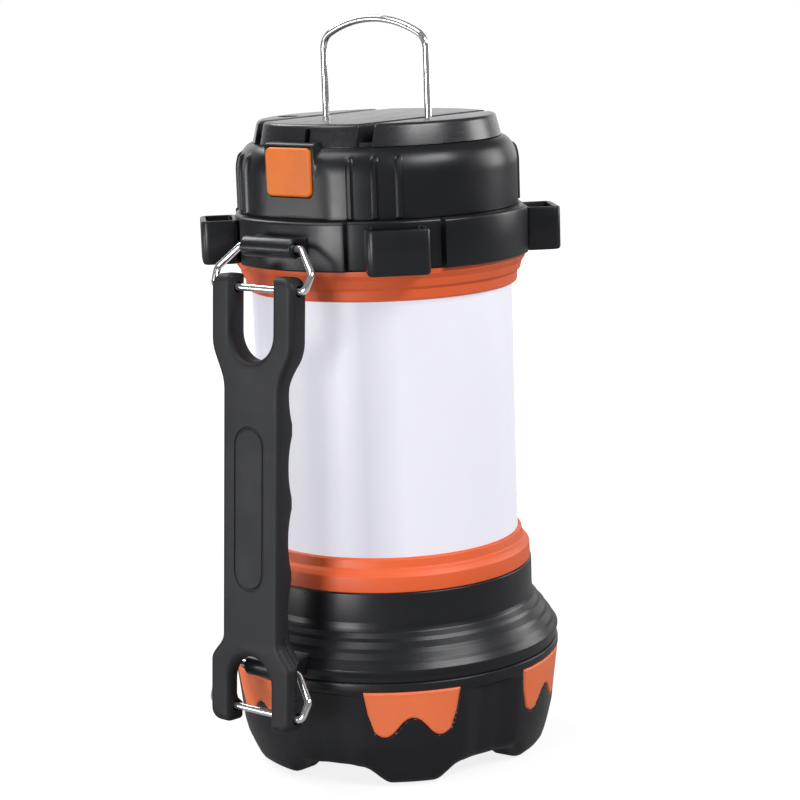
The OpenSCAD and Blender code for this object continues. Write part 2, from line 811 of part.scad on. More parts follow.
// Six sided wire ring hanging from a lug, with its foot through the holes of the fork
module wire_ring(lug_at) {
    translate(lug_at) rotate([-ring_tilt, 0, 0]) {
        wire_loop([[-ring_head_x, 0, 0], [-ring_wide_x, 0, -ring_wide_v],
            [-ring_foot_x, 0, -ring_l], [ring_foot_x, 0, -ring_l],
            [ring_wide_x, 0, -ring_wide_v], [ring_head_x, 0, 0]], ring_r, ring_ball);
    }
}

module upper_ring() color(steel) {
    wire_ring(upper_lug);
}

module lower_ring() color(steel) {
    wire_ring(lower_lug);
}

// Half width of the handle along its length, measured up from the lower hole
function blend(t) = (1 - cos(180 * t)) / 2;
function flare_side(from, to, n) =
    [for (i = [0:n]) [strap_w / 2 + (fork_w - strap_w) / 2 * blend(i / n),
        from + (to - from) * i / n]];

// Right hand edge of the handle's outline, from its lower end to its upper end
function strap_side() =
    let (x = fork_w / 2 - tine_corner,
         lower_from = lower_end + lower_flare[0] + lower_flare[1],
         upper_from = upper_end - upper_flare[0] - upper_flare[1],
         down = flare_side(lower_from, lower_from - lower_flare[1], 6))
    concat(
        arc([x, lower_end + tine_corner], tine_corner, -90, 0, 5),
        [for (i = [6:-1:0]) down[i]],
        flare_side(upper_from, upper_from + upper_flare[1], 8),
        arc([x, upper_end - tine_corner], tine_corner, 0, 90, 5));

module strap_outline() {
    side = strap_side();
    difference() {
        polygon(concat(side, [for (i = [len(side) - 1:-1:0]) [-side[i].x, side[i].y]]));
        translate([0, lower_end + lower_slot - slot_w / 2]) circle(d = slot_w);
        translate([-slot_w / 2, lower_end - 1]) square([slot_w, lower_slot - slot_w / 2 + 1]);
        translate([0, upper_end - upper_slot + slot_w / 2]) circle(d = slot_w);
        translate([-slot_w / 2, upper_end - upper_slot + slot_w / 2])
            square([slot_w, upper_slot]);
    }
}

module oval_outline(grow) {
    r = oval.x / 2 + grow;
    square([2 * r, oval.y - oval.x], center = true);
    for (s = [-1, 1]) translate([0, s * (oval.y - oval.x) / 2]) circle(r = r);
}

module handle() color([0.24, 0.24, 0.26]) {
    finger_r = (pow(finger_pitch * 0.42, 2) + pow(finger_depth, 2)) / (2 * finger_depth);
    translate(lower_hole) rotate([-strap_tilt, 0, 0]) difference() {
        rotate([90, 0, 0]) linear_extrude(height = strap_t, center = true) strap_outline();
        for (v = [[0, lower_play], [hole_span, run_gap]])
            translate([0, 0, v[0]]) rotate([0, 90, 0])
                cylinder(r = ring_r + v[1], h = fork_w + 2, center = true);
        translate([0, -strap_t / 2 + 0.5, oval_at]) rotate([90, 0, 0])
            linear_extrude(height = 2) difference() {
                oval_outline(0);
                oval_outline(-oval_line);
            }
        for (i = [0:finger_count - 1])
            translate([0, strap_t / 2 - finger_depth + finger_r, first_finger + i * finger_pitch])
                rotate([0, 90, 0]) cylinder(r = finger_r, h = fork_w, center = true);
        translate([-fork_w, strap_t / 2 - relief_depth, relief_from])
            cube([2 * fork_w, relief_depth + 1, relief_l]);
    }
}

crown_bezel();
for (i = [1:lobes])
    crown_insert(i);
beam_window();
window_gasket();
reflector();
spot_led();
spot_led_board();
heat_sink();
heat_sink_screws();
head_housing();
head_o_ring();
lower_trim_ring();
lower_seal();
lower_deck();
deck_screws();
diffuser();
led_column();
for (i = [1:4])
    led_strip(i);
lantern_leds();
battery_tray();
battery_cell(-cell_x);  // battery_cell_1
battery_cell(cell_x);  // battery_cell_2
battery_links();
battery_clamp();
lantern_wiring();
spot_wiring();
upper_deck();
upper_seal();
upper_trim_ring();
collar();
collar_screws();
control_board();
board_screws();
tactile_switch();
charging_socket();
dome_housing();
plate_screws();
top_plate();
charge_indicator();
button();
button_seal();
port_cover();
bail();
upper_ring();
lower_ring();
handle();
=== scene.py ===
import json
import math

import bmesh
import bpy
from mathutils import Matrix, Vector


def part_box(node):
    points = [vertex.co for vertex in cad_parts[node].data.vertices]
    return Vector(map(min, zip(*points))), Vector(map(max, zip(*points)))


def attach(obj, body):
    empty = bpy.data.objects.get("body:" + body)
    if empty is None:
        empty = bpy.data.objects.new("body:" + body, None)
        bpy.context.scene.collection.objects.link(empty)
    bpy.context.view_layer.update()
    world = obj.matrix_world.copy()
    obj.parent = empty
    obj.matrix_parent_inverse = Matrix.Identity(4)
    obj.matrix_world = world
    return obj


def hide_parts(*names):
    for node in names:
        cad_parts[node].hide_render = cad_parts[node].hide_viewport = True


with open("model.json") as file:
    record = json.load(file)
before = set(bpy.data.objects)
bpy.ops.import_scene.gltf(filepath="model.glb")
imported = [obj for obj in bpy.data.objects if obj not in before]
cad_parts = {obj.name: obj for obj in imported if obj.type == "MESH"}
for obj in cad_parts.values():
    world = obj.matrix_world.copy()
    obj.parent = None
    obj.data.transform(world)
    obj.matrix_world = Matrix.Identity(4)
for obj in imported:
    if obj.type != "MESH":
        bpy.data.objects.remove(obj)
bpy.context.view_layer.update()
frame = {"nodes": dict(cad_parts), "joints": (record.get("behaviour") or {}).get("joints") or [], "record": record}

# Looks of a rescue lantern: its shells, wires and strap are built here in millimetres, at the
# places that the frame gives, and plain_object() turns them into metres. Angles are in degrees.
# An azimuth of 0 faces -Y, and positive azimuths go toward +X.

MM = 0.001
nodes = frame["nodes"]
joints = {joint["name"]: joint for joint in frame["joints"]}


def low(node):
    """Low corner of a CAD node's box."""
    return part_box(node)[0] / MM


def high(node):
    """High corner of a CAD node's box."""
    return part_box(node)[1] / MM


def joint_at(name):
    """Point on a joint's axis."""
    return Vector(joints[name]["pos_m"]) / MM


FAR = 99  # further out than any wall

# Axes of the hinges
BAIL_PIVOT = joint_at("bail_fold").z
UPPER_LUG = joint_at("ring_swing")
LOWER_LUG = joint_at("lower_ring_swing")
UPPER_HOLE = joint_at("handle_turn")

# Heights where the stacked shells meet
CROWN_TOP = high("crown_bezel").z
HEAD_TOP = high("head_housing").z
GLASS_LOW = high("lower_trim_ring").z
GLASS_HIGH = low("upper_trim_ring").z
COLLAR_LOW = high("upper_trim_ring").z
DOME_LOW = low("dome_housing").z
TOP = high("top_plate").z
PLATE_LOW = TOP - 6.2
BOSS_TOP = high("dome_housing").z

# Crown. Between its lobes the wall sinks into valleys and the feet rise into gaps; both start
# and end at an angle from a lobe's middle.
CROWN_R = high("crown_bezel").x
LOBES = sum(name.startswith("crown_insert_") for name in nodes)
LOBE_PITCH = 360 / LOBES
FIRST_LOBE = 45
VALLEY_FROM = 17
VALLEY_TO = 27
VALLEY = 1.8
VALLEY_FADE = 26.4
VALLEY_TOP = 28
FOOT_FROM = 8.2
FOOT_TO = 19.2
FOOT_GAP = 4.8
FOOT_ROUND = 5
CROWN_SIDE = [(0, 42.6), (12, 45.7), (27, 47.4), (29, CROWN_R)]  # (height, radius)
WALL_LOW = 14.2
WALL_HIGH = 29

# Coloured patches: two straight sides over a wavy lower edge
PATCH_TOP = CROWN_TOP - 2.5
PATCH_SIDE = [(16.7, 10.6), (21.9, 12.3), (28.5, 13.5)]  # (height, half width)
PATCH_PROUD = 0.18  # how far its face stands out from the wall
PATCH_ROUND = 0.7  # how wide its softened rim is
PATCH_FALL = 0.45  # how far that rim falls back
PATCH_BACK = 0.9  # how far its back lies behind the wall
WAVE_MID = 17.9
WAVE_HEIGHT = 2.8
WAVE_X = 7.8  # half the wave's length
POCKET_DEPTH = 0.7

# Lantern tube
GLASS_R = high("diffuser").x
GLASS_WALL = 1.8
# Strength of the tube's painted glow, which stands in for light scattered through the frosted wall
TUBE_PAINTED_GLOW = 0.64

# Collar and grip blocks
COLLAR_R = 42.4
RECESS = 1.8  # how much thinner the collar is round its blocks
RECESS_HALF = 18.5  # half the angle of such a stretch
BLOCK_AZIMUTHS = [-135, -45, 45, 135]
BLOCK_R = 50.5
BLOCK_ROOT = 40  # where a block starts, inside the collar's wall
BLOCK_HALF = 8.45
BLOCK_WALL = 1.6
BLOCK_LOW = low("collar").z
BLOCK_HIGH = DOME_LOW - 1.5
POCKET = 6  # depth of the pocket in a block's top
POCKET_ROOT = 41.6  # where the pocket starts

# Dome: its wall is flat behind the button (the front pad) and round the port (the rear pad)
DOME_R = 39.2
DOME_INNER = 34.4
SHOULDER = PLATE_LOW - 7.8
SHOULDER_R = 34.8
SHOULDER_POINTS = 34
PLATE_BORE = 31.5
PAD_Y = 37.6
PAD_BLEND = 1.3  # how softly the round wall bends into the front pad
PAD_REACH = 60  # both pads end well within this angle off their middles
PORT_PAD_Y = 38.2
PORT_HALF = 9.5
PORT_TOP = 168.1
BOSS_HALF = 9  # half width of the boss that the button sits in
RIBS = [28, 38, 47.5]  # azimuths from the middle of the front and of the back
RIB_HALF = 0.85  # half the angle that a rib takes
RIB_PROUD = 0.8
RIB_TOP = PLATE_LOW - 2.6

# Top plate: three raised parts, with the bail's two grooves between them
PLATE_R = 34.5
PLATE_CORNER = 0.5
PLATE_SIDE_PROUD = 0.4
FLOOR_R = PLATE_R - 1.6
GROOVE_X = 18.5
GROOVE_INNER = 1.4  # from the leg's axis in to the middle part
GROOVE_OUTER = 2.3  # from the leg's axis out to a side part
GROOVE_LOW = BAIL_PIVOT - 2.2
INDICATOR_R = 2.1
SLIT_SIZE = (1.7, 4.2)
SLIT_TURN = 6

# Button and port cover
BUTTON_LOW = low("button")
BUTTON_HIGH = high("button")
BUTTON_Z = PLATE_LOW - 6.3
BUTTON_SIZE = (16, 13.2)
BUTTON_GAP = 0.3
COVER_LOW = low("port_cover")
COVER_HIGH = high("port_cover")

# Wires
WIRE_R = 1
BORE_R = 1.08
BAIL_X = 18.5
BAIL_END = high("bail").x
BAIL_TOP = high("bail").z - WIRE_R
BAIL_CORNER = 5
BAIL_ARCH = 34
WIRE_SHARP = 60  # the shading of wires stays smooth up to this angle

# Strap handle and its rings: V runs up the strap, D runs through it toward the body
RING_VECTOR = UPPER_HOLE - UPPER_LUG
LOWER_HOLE = LOWER_LUG + RING_VECTOR
SPAN = (UPPER_HOLE - LOWER_HOLE).length
V = (UPPER_HOLE - LOWER_HOLE).normalized()
D = Vector((0, V.z, -V.y))
LUG_R = 2.8
UPPER_LUG_HALF = 9
LOWER_LUG_HALF = 6.9
FORK_HALF = 14.5
SLOT_R = 7.5
STRAP_HALF = 10.2
STRAP_T = 7
STRAP_LOW = -4.2
STRAP_HIGH = SPAN + 3.6
STRAP_ROUND = 1.8
TINE_CORNER = 3.4
FINGERS = [28, 48, 68, 88]  # how far up the strap each finger groove is
FINGER_DEPTH = 1.5
FINGER_R = 24.3
OVAL_WIDTH = 10.8
OVAL_LENGTH = 45
OVAL_AT = 56

# Camera: azimuth, pan, pitch and roll; place and lens in millimetres
CAMERA_ANGLES = (39.5, 0.355, 10.685, -1.909)
CAMERA_DISTANCE = 650
CAMERA_HEIGHT = 223.3
CAMERA_LENS = 103.7

# Stage
FLOOR_GAP = 0.0002  # metres from the floor up to the feet
ROOM_LIGHT = 0.14  # how strongly the white backdrop lights the object

# Softboxes: name, azimuth, height, distance and size in metres, power in watts
LAMP_AIM = 0.09
LAMPS = [
    ("key", 3, 0.14, 0.75, (0.22, 0.28), 2.9),
    ("low left", -37, 0.05, 0.6, (0.26, 0.1), 0.7),
    ("front", 88, 0.80, 0.85, (0.6, 0.35), 8.5),
    ("high", -25, 1.0, 0.5, (0.5, 0.5), 4.5),
    ("rear", 262, 0.85, 0.75, (0.5, 0.5), 5),
    ("side", 150, 0.34, 0.9, (0.35, 0.4), 2.6),
    ("back", 219, 0.34, 1.2, (2.2, 0.5), 3.6),
]


# ---- Numbers ----

def smooth(start, end, x):
    """0 at start and 1 at end, with a soft step between them; start may be the greater."""
    t = min(max((x - start) / (end - start), 0), 1)
    return t * t * (3 - 2 * t)


def between(points, x):
    """Value at x of a line through (x, value) points."""
    for (x0, y0), (x1, y1) in zip(points, points[1:]):
        if x <= x1 or (x1, y1) == points[-1]:
            return y0 + (y1 - y0) * (x - x0) / (x1 - x0)


def angle_from(azimuth, middle, period=360):
    """Signed angle from the nearest of some evenly spaced azimuths."""
    return (azimuth - middle + period / 2) % period - period / 2


def spaced(start, end, count):
    """Evenly spaced numbers, with both ends among them."""
    return [start + (end - start) * i / (count - 1) for i in range(count)]


# ---- Flat outlines ----

def arc(centre, radius, start, end, steps):
    """Points on an arc from one angle to another, in degrees."""
    return [(centre[0] + radius * math.cos(math.radians(a)),
             centre[1] + radius * math.sin(math.radians(a)))
            for a in spaced(start, end, steps + 1)]


def rounded(points, closed=False, steps=4):
    """Outline through (a, b) or (a, b, radius) points; a radius turns its corner into an arc."""
    out = []
    for i, point in enumerate(points):
        here = Vector(point[:2])
        at_end = not closed and i in (0, len(points) - 1)
        if len(point) < 3 or at_end:
            out.append(tuple(here))
            continue
        back = Vector(points[i - 1][:2]) - here
        ahead = Vector(points[(i + 1) % len(points)][:2]) - here
        half = back.angle(ahead) / 2
        cut = min(point[2] / math.tan(half), 0.48 * back.length, 0.48 * ahead.length)
        radius = cut * math.tan(half)
        inward = (back.normalized() + ahead.normalized()).normalized()
        centre = here + inward * (radius / math.sin(half))
        start = here + back.normalized() * cut - centre
        end = here + ahead.normalized() * cut - centre
        turn = math.atan2(start.x * end.y - start.y * end.x, start.dot(end))
        for k in range(steps + 1):
            spot = centre + Matrix.Rotation(turn * k / steps, 2) @ start
            out.append((spot.x, spot.y))
    return out


def resampled(points, count):
    """The same line with its points evenly spaced."""
    runs = [0]
    for a, b in zip(points, points[1:]):
        runs.append(runs[-1] + math.dist(a, b))
    out = []
    k = 0
    for run in spaced(0, runs[-1], count):
        while k < len(runs) - 2 and runs[k + 1] < run:
            k += 1
        t = (run - runs[k]) / max(runs[k + 1] - runs[k], 1e-9)
        out.append(tuple(a + (b - a) * t for a, b in zip(points[k], points[k + 1])))
    return out


def rounded_rect(width, height, corner, steps=6):
    a, b = width / 2, height / 2
    corners = [(-a, -b, corner), (a, -b, corner), (a, b, corner), (-a, b, corner)]
    return rounded(corners, True, steps)


def mirrored(line):
    """The same line on the other side of a = 0, run backward."""
    return [(-a, b, *radius) for a, b, *radius in reversed(line)]


def inset(outline, distance):
    """A counterclockwise outline moved inward, with the same number of points."""
    out = []
    for i, point in enumerate(outline):
        here = Vector(point)
        before = (here - Vector(outline[i - 1])).normalized()
        after = (Vector(outline[(i + 1) % len(outline)]) - here).normalized()
        a = Vector((-before.y, before.x))
        b = Vector((-after.y, after.x))
        spot = here + distance * (a + b) / (1 + a.dot(b))
        out.append((spot.x, spot.y))
    return out


# ---- Closed solids, each as (vertices, faces) ----

def loft(loops, closed=False):
    """Skin over loops with equal numbers of points, capped at both ends unless it is closed."""
    count = len(loops[0])
    verts = [point for loop in loops for point in loop]
    faces = []
    for i in range(len(loops) if closed else len(loops) - 1):
        a, b = i * count, (i + 1) % len(loops) * count
        for k in range(count):
            after = (k + 1) % count
            faces.append((a + k, a + after, b + after, b + k))
    if not closed:
        faces.append(tuple(range(count))[::-1])
        faces.append(tuple(range(len(verts) - count, len(verts))))
    return verts, faces


def polar(column, segments=720):
    """Solid round the axis whose closed (radius, height) outline depends on the azimuth."""
    loops = []
    for i in range(segments):
        azimuth = 360 * i / segments
        a = math.radians(azimuth)
        loops.append([(r * math.sin(a), -r * math.cos(a), z) for r, z in column(azimuth)])
    return loft(loops, closed=True)


def turned(outline, segments=240):
    """Solid of revolution from a closed (radius, height) outline."""
    return polar(lambda azimuth: outline, segments)


def slab(outline, bottom, top, edge, place, steps=4):
    """Prism on an outline whose rims are rounded; place(a, b, height) puts a point in space."""
    rim = [(edge * (1 - math.sin(t)), edge * (1 - math.cos(t)))
           for t in spaced(0, math.pi / 2, steps + 1)]
    levels = [(back, bottom + rise) for back, rise in rim]
    levels += [(back, top - rise) for back, rise in reversed(rim)]
    return loft([[place(a, b, h) for a, b in inset(outline, back)] for back, h in levels])


def ring_of_points(centre, radius, normal, side, count):
    """Points of a circle in the plane of two directions."""
    return [centre + radius * (normal * math.cos(a) + side * math.sin(a))
            for a in spaced(0, 2 * math.pi, count + 1)[:-1]]


def tube(path, radius, closed=False, sides=20):
    """Round wire along a path."""
    path = [Vector(p) for p in path]
    normal = None
    loops = []
    for i, here in enumerate(path):
        before = path[i - 1] if closed or i else here
        after = path[(i + 1) % len(path)] if closed or i < len(path) - 1 else here
        along = (after - before).normalized()
        normal = along.orthogonal() if normal is None else normal
        normal = (normal - along * normal.dot(along)).normalized()
        loops.append(ring_of_points(here, radius, normal, along.cross(normal), sides))
    return loft(loops, closed)


def rod(start, end, radius, edge=0.0, sides=48):
    """Straight round rod, with softened ends where edge is given."""
    start, end = Vector(start), Vector(end)
    along = (end - start).normalized()
    ends = [(0, radius)]
    if edge:
        ends = [(0, radius - edge), (edge * 0.3, radius - edge * 0.3), (edge, radius)]
    length = (end - start).length
    stations = ends + [(length - run, r) for run, r in reversed(ends)]
    normal = along.orthogonal()
    side = along.cross(normal)
    return loft([ring_of_points(start + along * run, r, normal, side, sides)
                 for run, r in stations])


# ---- Objects ----

def plain_object(name, solids):
    """Object made of closed solids that are given in millimetres."""
    verts, faces = [], []
    for solid_verts, solid_faces in solids:
        faces += [[i + len(verts) for i in face] for face in solid_faces]
        verts += [Vector(v) * MM for v in solid_verts]
    mesh = bpy.data.meshes.new(name)
    mesh.from_pydata(verts, [], faces)
    work = bmesh.new()
    work.from_mesh(mesh)
    bmesh.ops.recalc_face_normals(work, faces=work.faces)
    work.to_mesh(mesh)
    work.free()
    obj = bpy.data.objects.new(name, mesh)
    bpy.context.scene.collection.objects.link(obj)
    return obj


def carve(obj, cutters):
    """Cuts closed solids out of an object for good."""
    tool = plain_object(obj.name + "_cutter", cutters)
    change = obj.modifiers.new("carve", "BOOLEAN")
    change.operation = "DIFFERENCE"
    change.solver = "EXACT"
    change.object = tool
    evaluated = obj.evaluated_get(bpy.context.evaluated_depsgraph_get())
    done = bpy.data.meshes.new_from_object(evaluated)
    obj.modifiers.clear()
    obj.data = done
    bpy.data.objects.remove(tool)


def dress(obj, body, slot, *replaced, sharp=32):
    """Smooths, paints and hangs a finished piece on its body, in place of the CAD nodes named."""
    obj.data.polygons.foreach_set("use_smooth", [True] * len(obj.data.polygons))
    obj.data.set_sharp_from_angle(angle=math.radians(sharp))
    obj.data.materials.clear()
    obj.data.materials.append(LOOKS[slot])
    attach(obj, body)
    if replaced:
        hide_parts(*replaced)


# ---- Materials ----

LOOKS = {}  # materials by name; the object's own are named after their slots


def linear(rgb):
    """Linear colour from 0-255 screen values."""
    shares = [c / 255 for c in rgb]
    return tuple(c / 12.92 if c < 0.04 else ((c + 0.055) / 1.055) ** 2.4 for c in shares) + (1,)


def scaled(colour, factor, lift=0.0):
    """A colour made darker or lighter."""
    return tuple(min(c * factor + lift, 1) for c in colour[:3]) + (1,)


class Paint:
    """Principled material with helpers for its procedural nodes."""

    def __init__(self, name, **settings):
        self.material = bpy.data.materials.new(name)
        LOOKS[name] = self.material
        self.material.use_nodes = True
        self.tree = self.material.node_tree
        self.shader = self.tree.nodes["Principled BSDF"]
        for socket, value in settings.items():
            self.shader.inputs[socket.replace("_", " ")].default_value = value
        self.coords = self.tree.nodes.new("ShaderNodeTexCoord").outputs["Object"]

    def feed(self, socket, value):
        """Links an output to a socket, or sets the socket to a plain value."""
        if isinstance(value, bpy.types.NodeSocket):
            self.tree.links.new(value, socket)
        else:
            socket.default_value = value

    def node(self, kind, **inputs):
        """New node, with its input sockets fed by name."""
        made = self.tree.nodes.new(kind)
        for name, value in inputs.items():
            self.feed(made.inputs[name.replace("_", " ")], value)
        return made

    def stretched(self, scale):
        """Object coordinates with a scale for each axis."""
        return self.node("ShaderNodeMapping", Vector=self.coords, Scale=scale).outputs["Vector"]

    def noise(self, scale, detail=3.0, rough=0.55, vector=None):
        made = self.node("ShaderNodeTexNoise", Vector=vector or self.coords, Scale=scale,
                         Detail=detail, Roughness=rough)
        return made.outputs["Fac"]

    def span(self, value, from_low, from_high, to_low, to_high):
        """Maps one range to another, and holds the value at its ends."""
        made = self.node("ShaderNodeMapRange", Value=value, From_Min=from_low, From_Max=from_high,
                         To_Min=to_low, To_Max=to_high)
        return made.outputs["Result"]

    def math(self, operation, a, b=0.0):
        made = self.node("ShaderNodeMath")
        made.operation = operation
        for socket, value in zip(made.inputs, (a, b)):
            self.feed(socket, value)
        return made.outputs["Value"]

    def mix(self, factor, first, second):
        """Blend of two colours; a Mix node's colour sockets share their names, so go by number."""
        made = self.node("ShaderNodeMix")
        made.data_type = "RGBA"
        for index, value in ((0, factor), (6, first), (7, second)):
            self.feed(made.inputs[index], value)
        return made.outputs[2]

    def link(self, output, socket):
        """Links an output to a socket of the shader."""
        self.tree.links.new(output, self.shader.inputs[socket])

    def edges(self, start, end):
        """Mask of the convex edges, where handling polishes or pales a surface."""
        worn = self.node("ShaderNodeNewGeometry").outputs["Pointiness"]
        return self.span(worn, start, end, 0.0, 1.0)

    def bump(self, height, distance, strength=1.0, below=None):
        """Relief with a depth in metres, on top of another relief where one is given."""
        made = self.node("ShaderNodeBump", Strength=strength, Distance=distance, Height=height)
        if below is not None:
            self.tree.links.new(below, made.inputs["Normal"])
        return made.outputs["Normal"]


def moulded(name, rgb, rough, grain=0.35, grain_depth=0.00002, spread=0.10, pale=1.35, wear=0.35,
            mottle=0.86, **settings):
    """Moulded plastic or rubber: fine grain, faint flow marks, uneven gloss and paler edges.

    grain is a grain's size in millimetres and grain_depth its depth in metres, spread is how much
    the gloss varies, pale and wear are how light worn edges are and how much of it shows, and
    mottle is how dark the flow marks are.
    """
    paint = Paint(name, **settings)
    colour = linear(rgb)
    flow = paint.noise(38.0, 4.0, vector=paint.stretched((1, 1, 0.35)))
    base = paint.mix(paint.span(flow, 0.3, 0.7, 0.0, 1.0), scaled(colour, mottle), colour)
    edges = paint.edges(0.52, 0.62)
    worn = paint.math("MULTIPLY", edges, paint.span(paint.noise(160.0), 0.4, 0.6, 0.3, 1.0))
    base = paint.mix(paint.math("MULTIPLY", worn, wear), base, scaled(colour, pale, 0.004))
    paint.link(base, "Base Color")
    patchy = paint.noise(95.0, 5.0, 0.6)
    gloss = paint.span(patchy, 0.3, 0.7, rough - spread / 2, rough + spread / 2)
    paint.link(gloss, "Roughness")
    fine = paint.noise(1000 / grain, 2.0)
    broad = paint.bump(paint.noise(120.0, 2.0), 0.00008, 0.35)
    paint.link(paint.bump(fine, grain_depth, 0.8, broad), "Normal")


def drawn_wire(name):
    """Bright wire with faint marks along its length."""
    paint = Paint(name, Metallic=0.92)
    marks = paint.noise(900.0, 3.0, vector=paint.stretched((1, 1, 0.08)))
    share = paint.span(marks, 0.35, 0.65, 0.0, 1.0)
    paint.link(paint.mix(share, (0.84, 0.85, 0.87, 1), (0.96, 0.96, 0.97, 1)), "Base Color")
    paint.link(paint.span(marks, 0.3, 0.7, 0.08, 0.16), "Roughness")
    paint.link(paint.bump(marks, 0.000006, 0.5), "Normal")


def machined(name, colour, rough, streak=0.06):
    """Metal with fine turning streaks."""
    paint = Paint(name, Metallic=1.0)
    marks = paint.noise(700.0, 4.0, vector=paint.stretched((0.2, 0.2, 1)))
    paint.link(paint.mix(marks, scaled(colour, 0.8), scaled(colour, 1)), "Base Color")
    paint.link(paint.span(marks, 0.3, 0.7, rough - streak, rough + streak), "Roughness")
    paint.link(paint.bump(marks, 0.00001, 0.5), "Normal")


def frosted(name):
    """Frosted tube with a faint painted glow, in place of light scattered through its wall, and the painted shade
    of the light column behind it.
    """
    paint = Paint(name, Subsurface_Weight=0.35, Subsurface_Scale=0.004, IOR=1.45,
                  Emission_Strength=TUBE_PAINTED_GLOW)
    place = paint.node("ShaderNodeSeparateXYZ", Vector=paint.coords)
    toward_front = paint.math("MULTIPLY", place.outputs["Y"], -1.0)
    around = paint.math("ARCTAN2", place.outputs["X"], toward_front)
    degrees = paint.math("MULTIPLY", around, 180 / math.pi)
    # Painted shade: soft dips in brightness at azimuths of 30 and 150 on both sides, where the dark edges of the
    # light column behind the tube shade it
    off_side = paint.math("SUBTRACT", paint.math("ABSOLUTE", degrees), 90.0)
    dip = paint.math("SUBTRACT", paint.math("ABSOLUTE", off_side), 60.0)
    shade = paint.span(paint.math("ABSOLUTE", dip), 0.0, 16.0, 0.0, 1.0)
    cloud = paint.noise(24.0, 3.0, vector=paint.stretched((1, 1, 0.3)))
    shade = paint.math("MULTIPLY", shade, paint.span(cloud, 0.3, 0.7, 0.85, 1.0))
    # The painted shade darkens both the colour and the painted glow
    paint.link(paint.mix(shade, linear((135, 135, 142)), linear((150, 150, 156))), "Base Color")
    paint.link(paint.mix(shade, linear((214, 214, 229)), linear((240, 240, 250))), "Emission Color")
    paint.link(paint.span(paint.noise(260.0, 4.0), 0.3, 0.7, 0.34, 0.46), "Roughness")
    paint.link(paint.bump(paint.noise(1900.0, 2.0), 0.000012, 0.6), "Normal")


def clear_glass(name, tint, rough):
    """Clear lens with faint smears."""
    paint = Paint(name, Transmission_Weight=1.0, IOR=1.47)
    smear = paint.noise(60.0, 4.0)
    paint.link(paint.mix(smear, tint, (1, 1, 1, 1)), "Base Color")
    paint.link(paint.span(smear, 0.4, 0.8, rough, rough + 0.05), "Roughness")


def mirrored_coat(name):
    """Vacuum coated reflector with a faint orange peel."""
    paint = Paint(name, Metallic=1.0)
    peel = paint.noise(420.0, 2.0)
    paint.link(paint.mix(peel, (0.82, 0.83, 0.85, 1), (0.92, 0.92, 0.93, 1)), "Base Color")
    paint.link(paint.span(peel, 0.3, 0.7, 0.05, 0.1), "Roughness")
    paint.link(paint.bump(peel, 0.000015, 0.4), "Normal")


def polished(name):
    """Polished black top with fine random hairlines."""
    paint = Paint(name, Coat_Weight=0.3, Coat_Roughness=0.25, Specular_IOR_Level=0.45)
    cloud = paint.noise(30.0, 4.0)
    paint.link(paint.mix(cloud, linear((22, 22, 26)), linear((34, 34, 39))), "Base Color")
    hair = paint.noise(1200.0, 3.0, vector=paint.stretched((1, 0.06, 1)))
    paint.link(paint.span(hair, 0.3, 0.75, 0.26, 0.38), "Roughness")
    paint.link(paint.bump(hair, 0.000005, 0.5), "Normal")


def board(name, rgb):
    """Printed board: solder resist over faint copper tracks."""
    paint = Paint(name, Roughness=0.35)
    tracks = paint.node("ShaderNodeTexBrick", Vector=paint.coords, Scale=300.0).outputs["Fac"]
    colour = linear(rgb)
    paint.link(paint.mix(tracks, scaled(colour, 1.35), colour), "Base Color")
    paint.link(paint.bump(tracks, 0.00002, 0.4), "Normal")


def make_looks():
    """One material for each slot of the record, under the slot's name."""
    soft = {"Subsurface_Weight": 0.08, "Subsurface_Scale": 0.001}
    moulded("black_plastic", (24, 25, 29), 0.32, grain=0.3, grain_depth=0.000012, spread=0.08,
            pale=1.9, wear=0.5, Specular_IOR_Level=0.38)
    moulded("orange_plastic", (232, 98, 48), 0.48, grain=0.3, pale=1.12, **soft)
    moulded("orange_patch", (238, 118, 70), 0.48, grain=0.3, pale=1.12, **soft)
    moulded("orange_button", (224, 112, 18), 0.5, grain=0.9, grain_depth=0.0001, pale=1.1,
            mottle=0.62, **soft)
    moulded("handle_rubber", (29, 30, 33), 0.55, grain=0.4, grain_depth=0.00003, pale=1.6,
            wear=0.4, Specular_IOR_Level=0.32)
    moulded("cover_rubber", (33, 33, 36), 0.6, grain=0.4, grain_depth=0.00003)
    moulded("seal_rubber", (28, 28, 29), 0.7)
    moulded("inner_plastic", (48, 48, 52), 0.5)
    moulded("white_plastic", (232, 232, 234), 0.45, pale=1.02)
    moulded("lead_red", (168, 24, 22), 0.4)
    moulded("lead_black", (22, 22, 23), 0.4)
    moulded("cell_sleeve", (42, 98, 168), 0.25, grain=1.5, grain_depth=0.00001)
    moulded("led_phosphor", (236, 210, 110), 0.3, Emission_Strength=0.0)
    drawn_wire("chrome_wire")
    polished("top_gloss")
    frosted("frosted_tube")
    clear_glass("clear_lens", (0.93, 0.97, 0.99, 1), 0.01)
    clear_glass("indicator_lens", (0.85, 0.9, 0.92, 1), 0.15)
    mirrored_coat("mirror_coat")
    machined("heat_sink_metal", (0.62, 0.63, 0.64), 0.38)
    machined("screw_steel", (0.58, 0.58, 0.6), 0.3)
    machined("nickel", (0.68, 0.66, 0.62), 0.22)
    board("white_board", (228, 229, 230))
    board("circuit_board", (24, 86, 58))


# ---- Crown ----

def crown_side(z):
    """Radius of a lobe's outer face at a height."""
    return between(CROWN_SIDE, z)


def patch_half(z):
    """Half width of a coloured patch at a height."""
    return max(between(PATCH_SIDE, z), PATCH_SIDE[0][1])


def patch_low(x):
    """Height of a patch's wavy lower edge."""
    return WAVE_MID + WAVE_HEIGHT * math.cos(math.pi * x / WAVE_X)


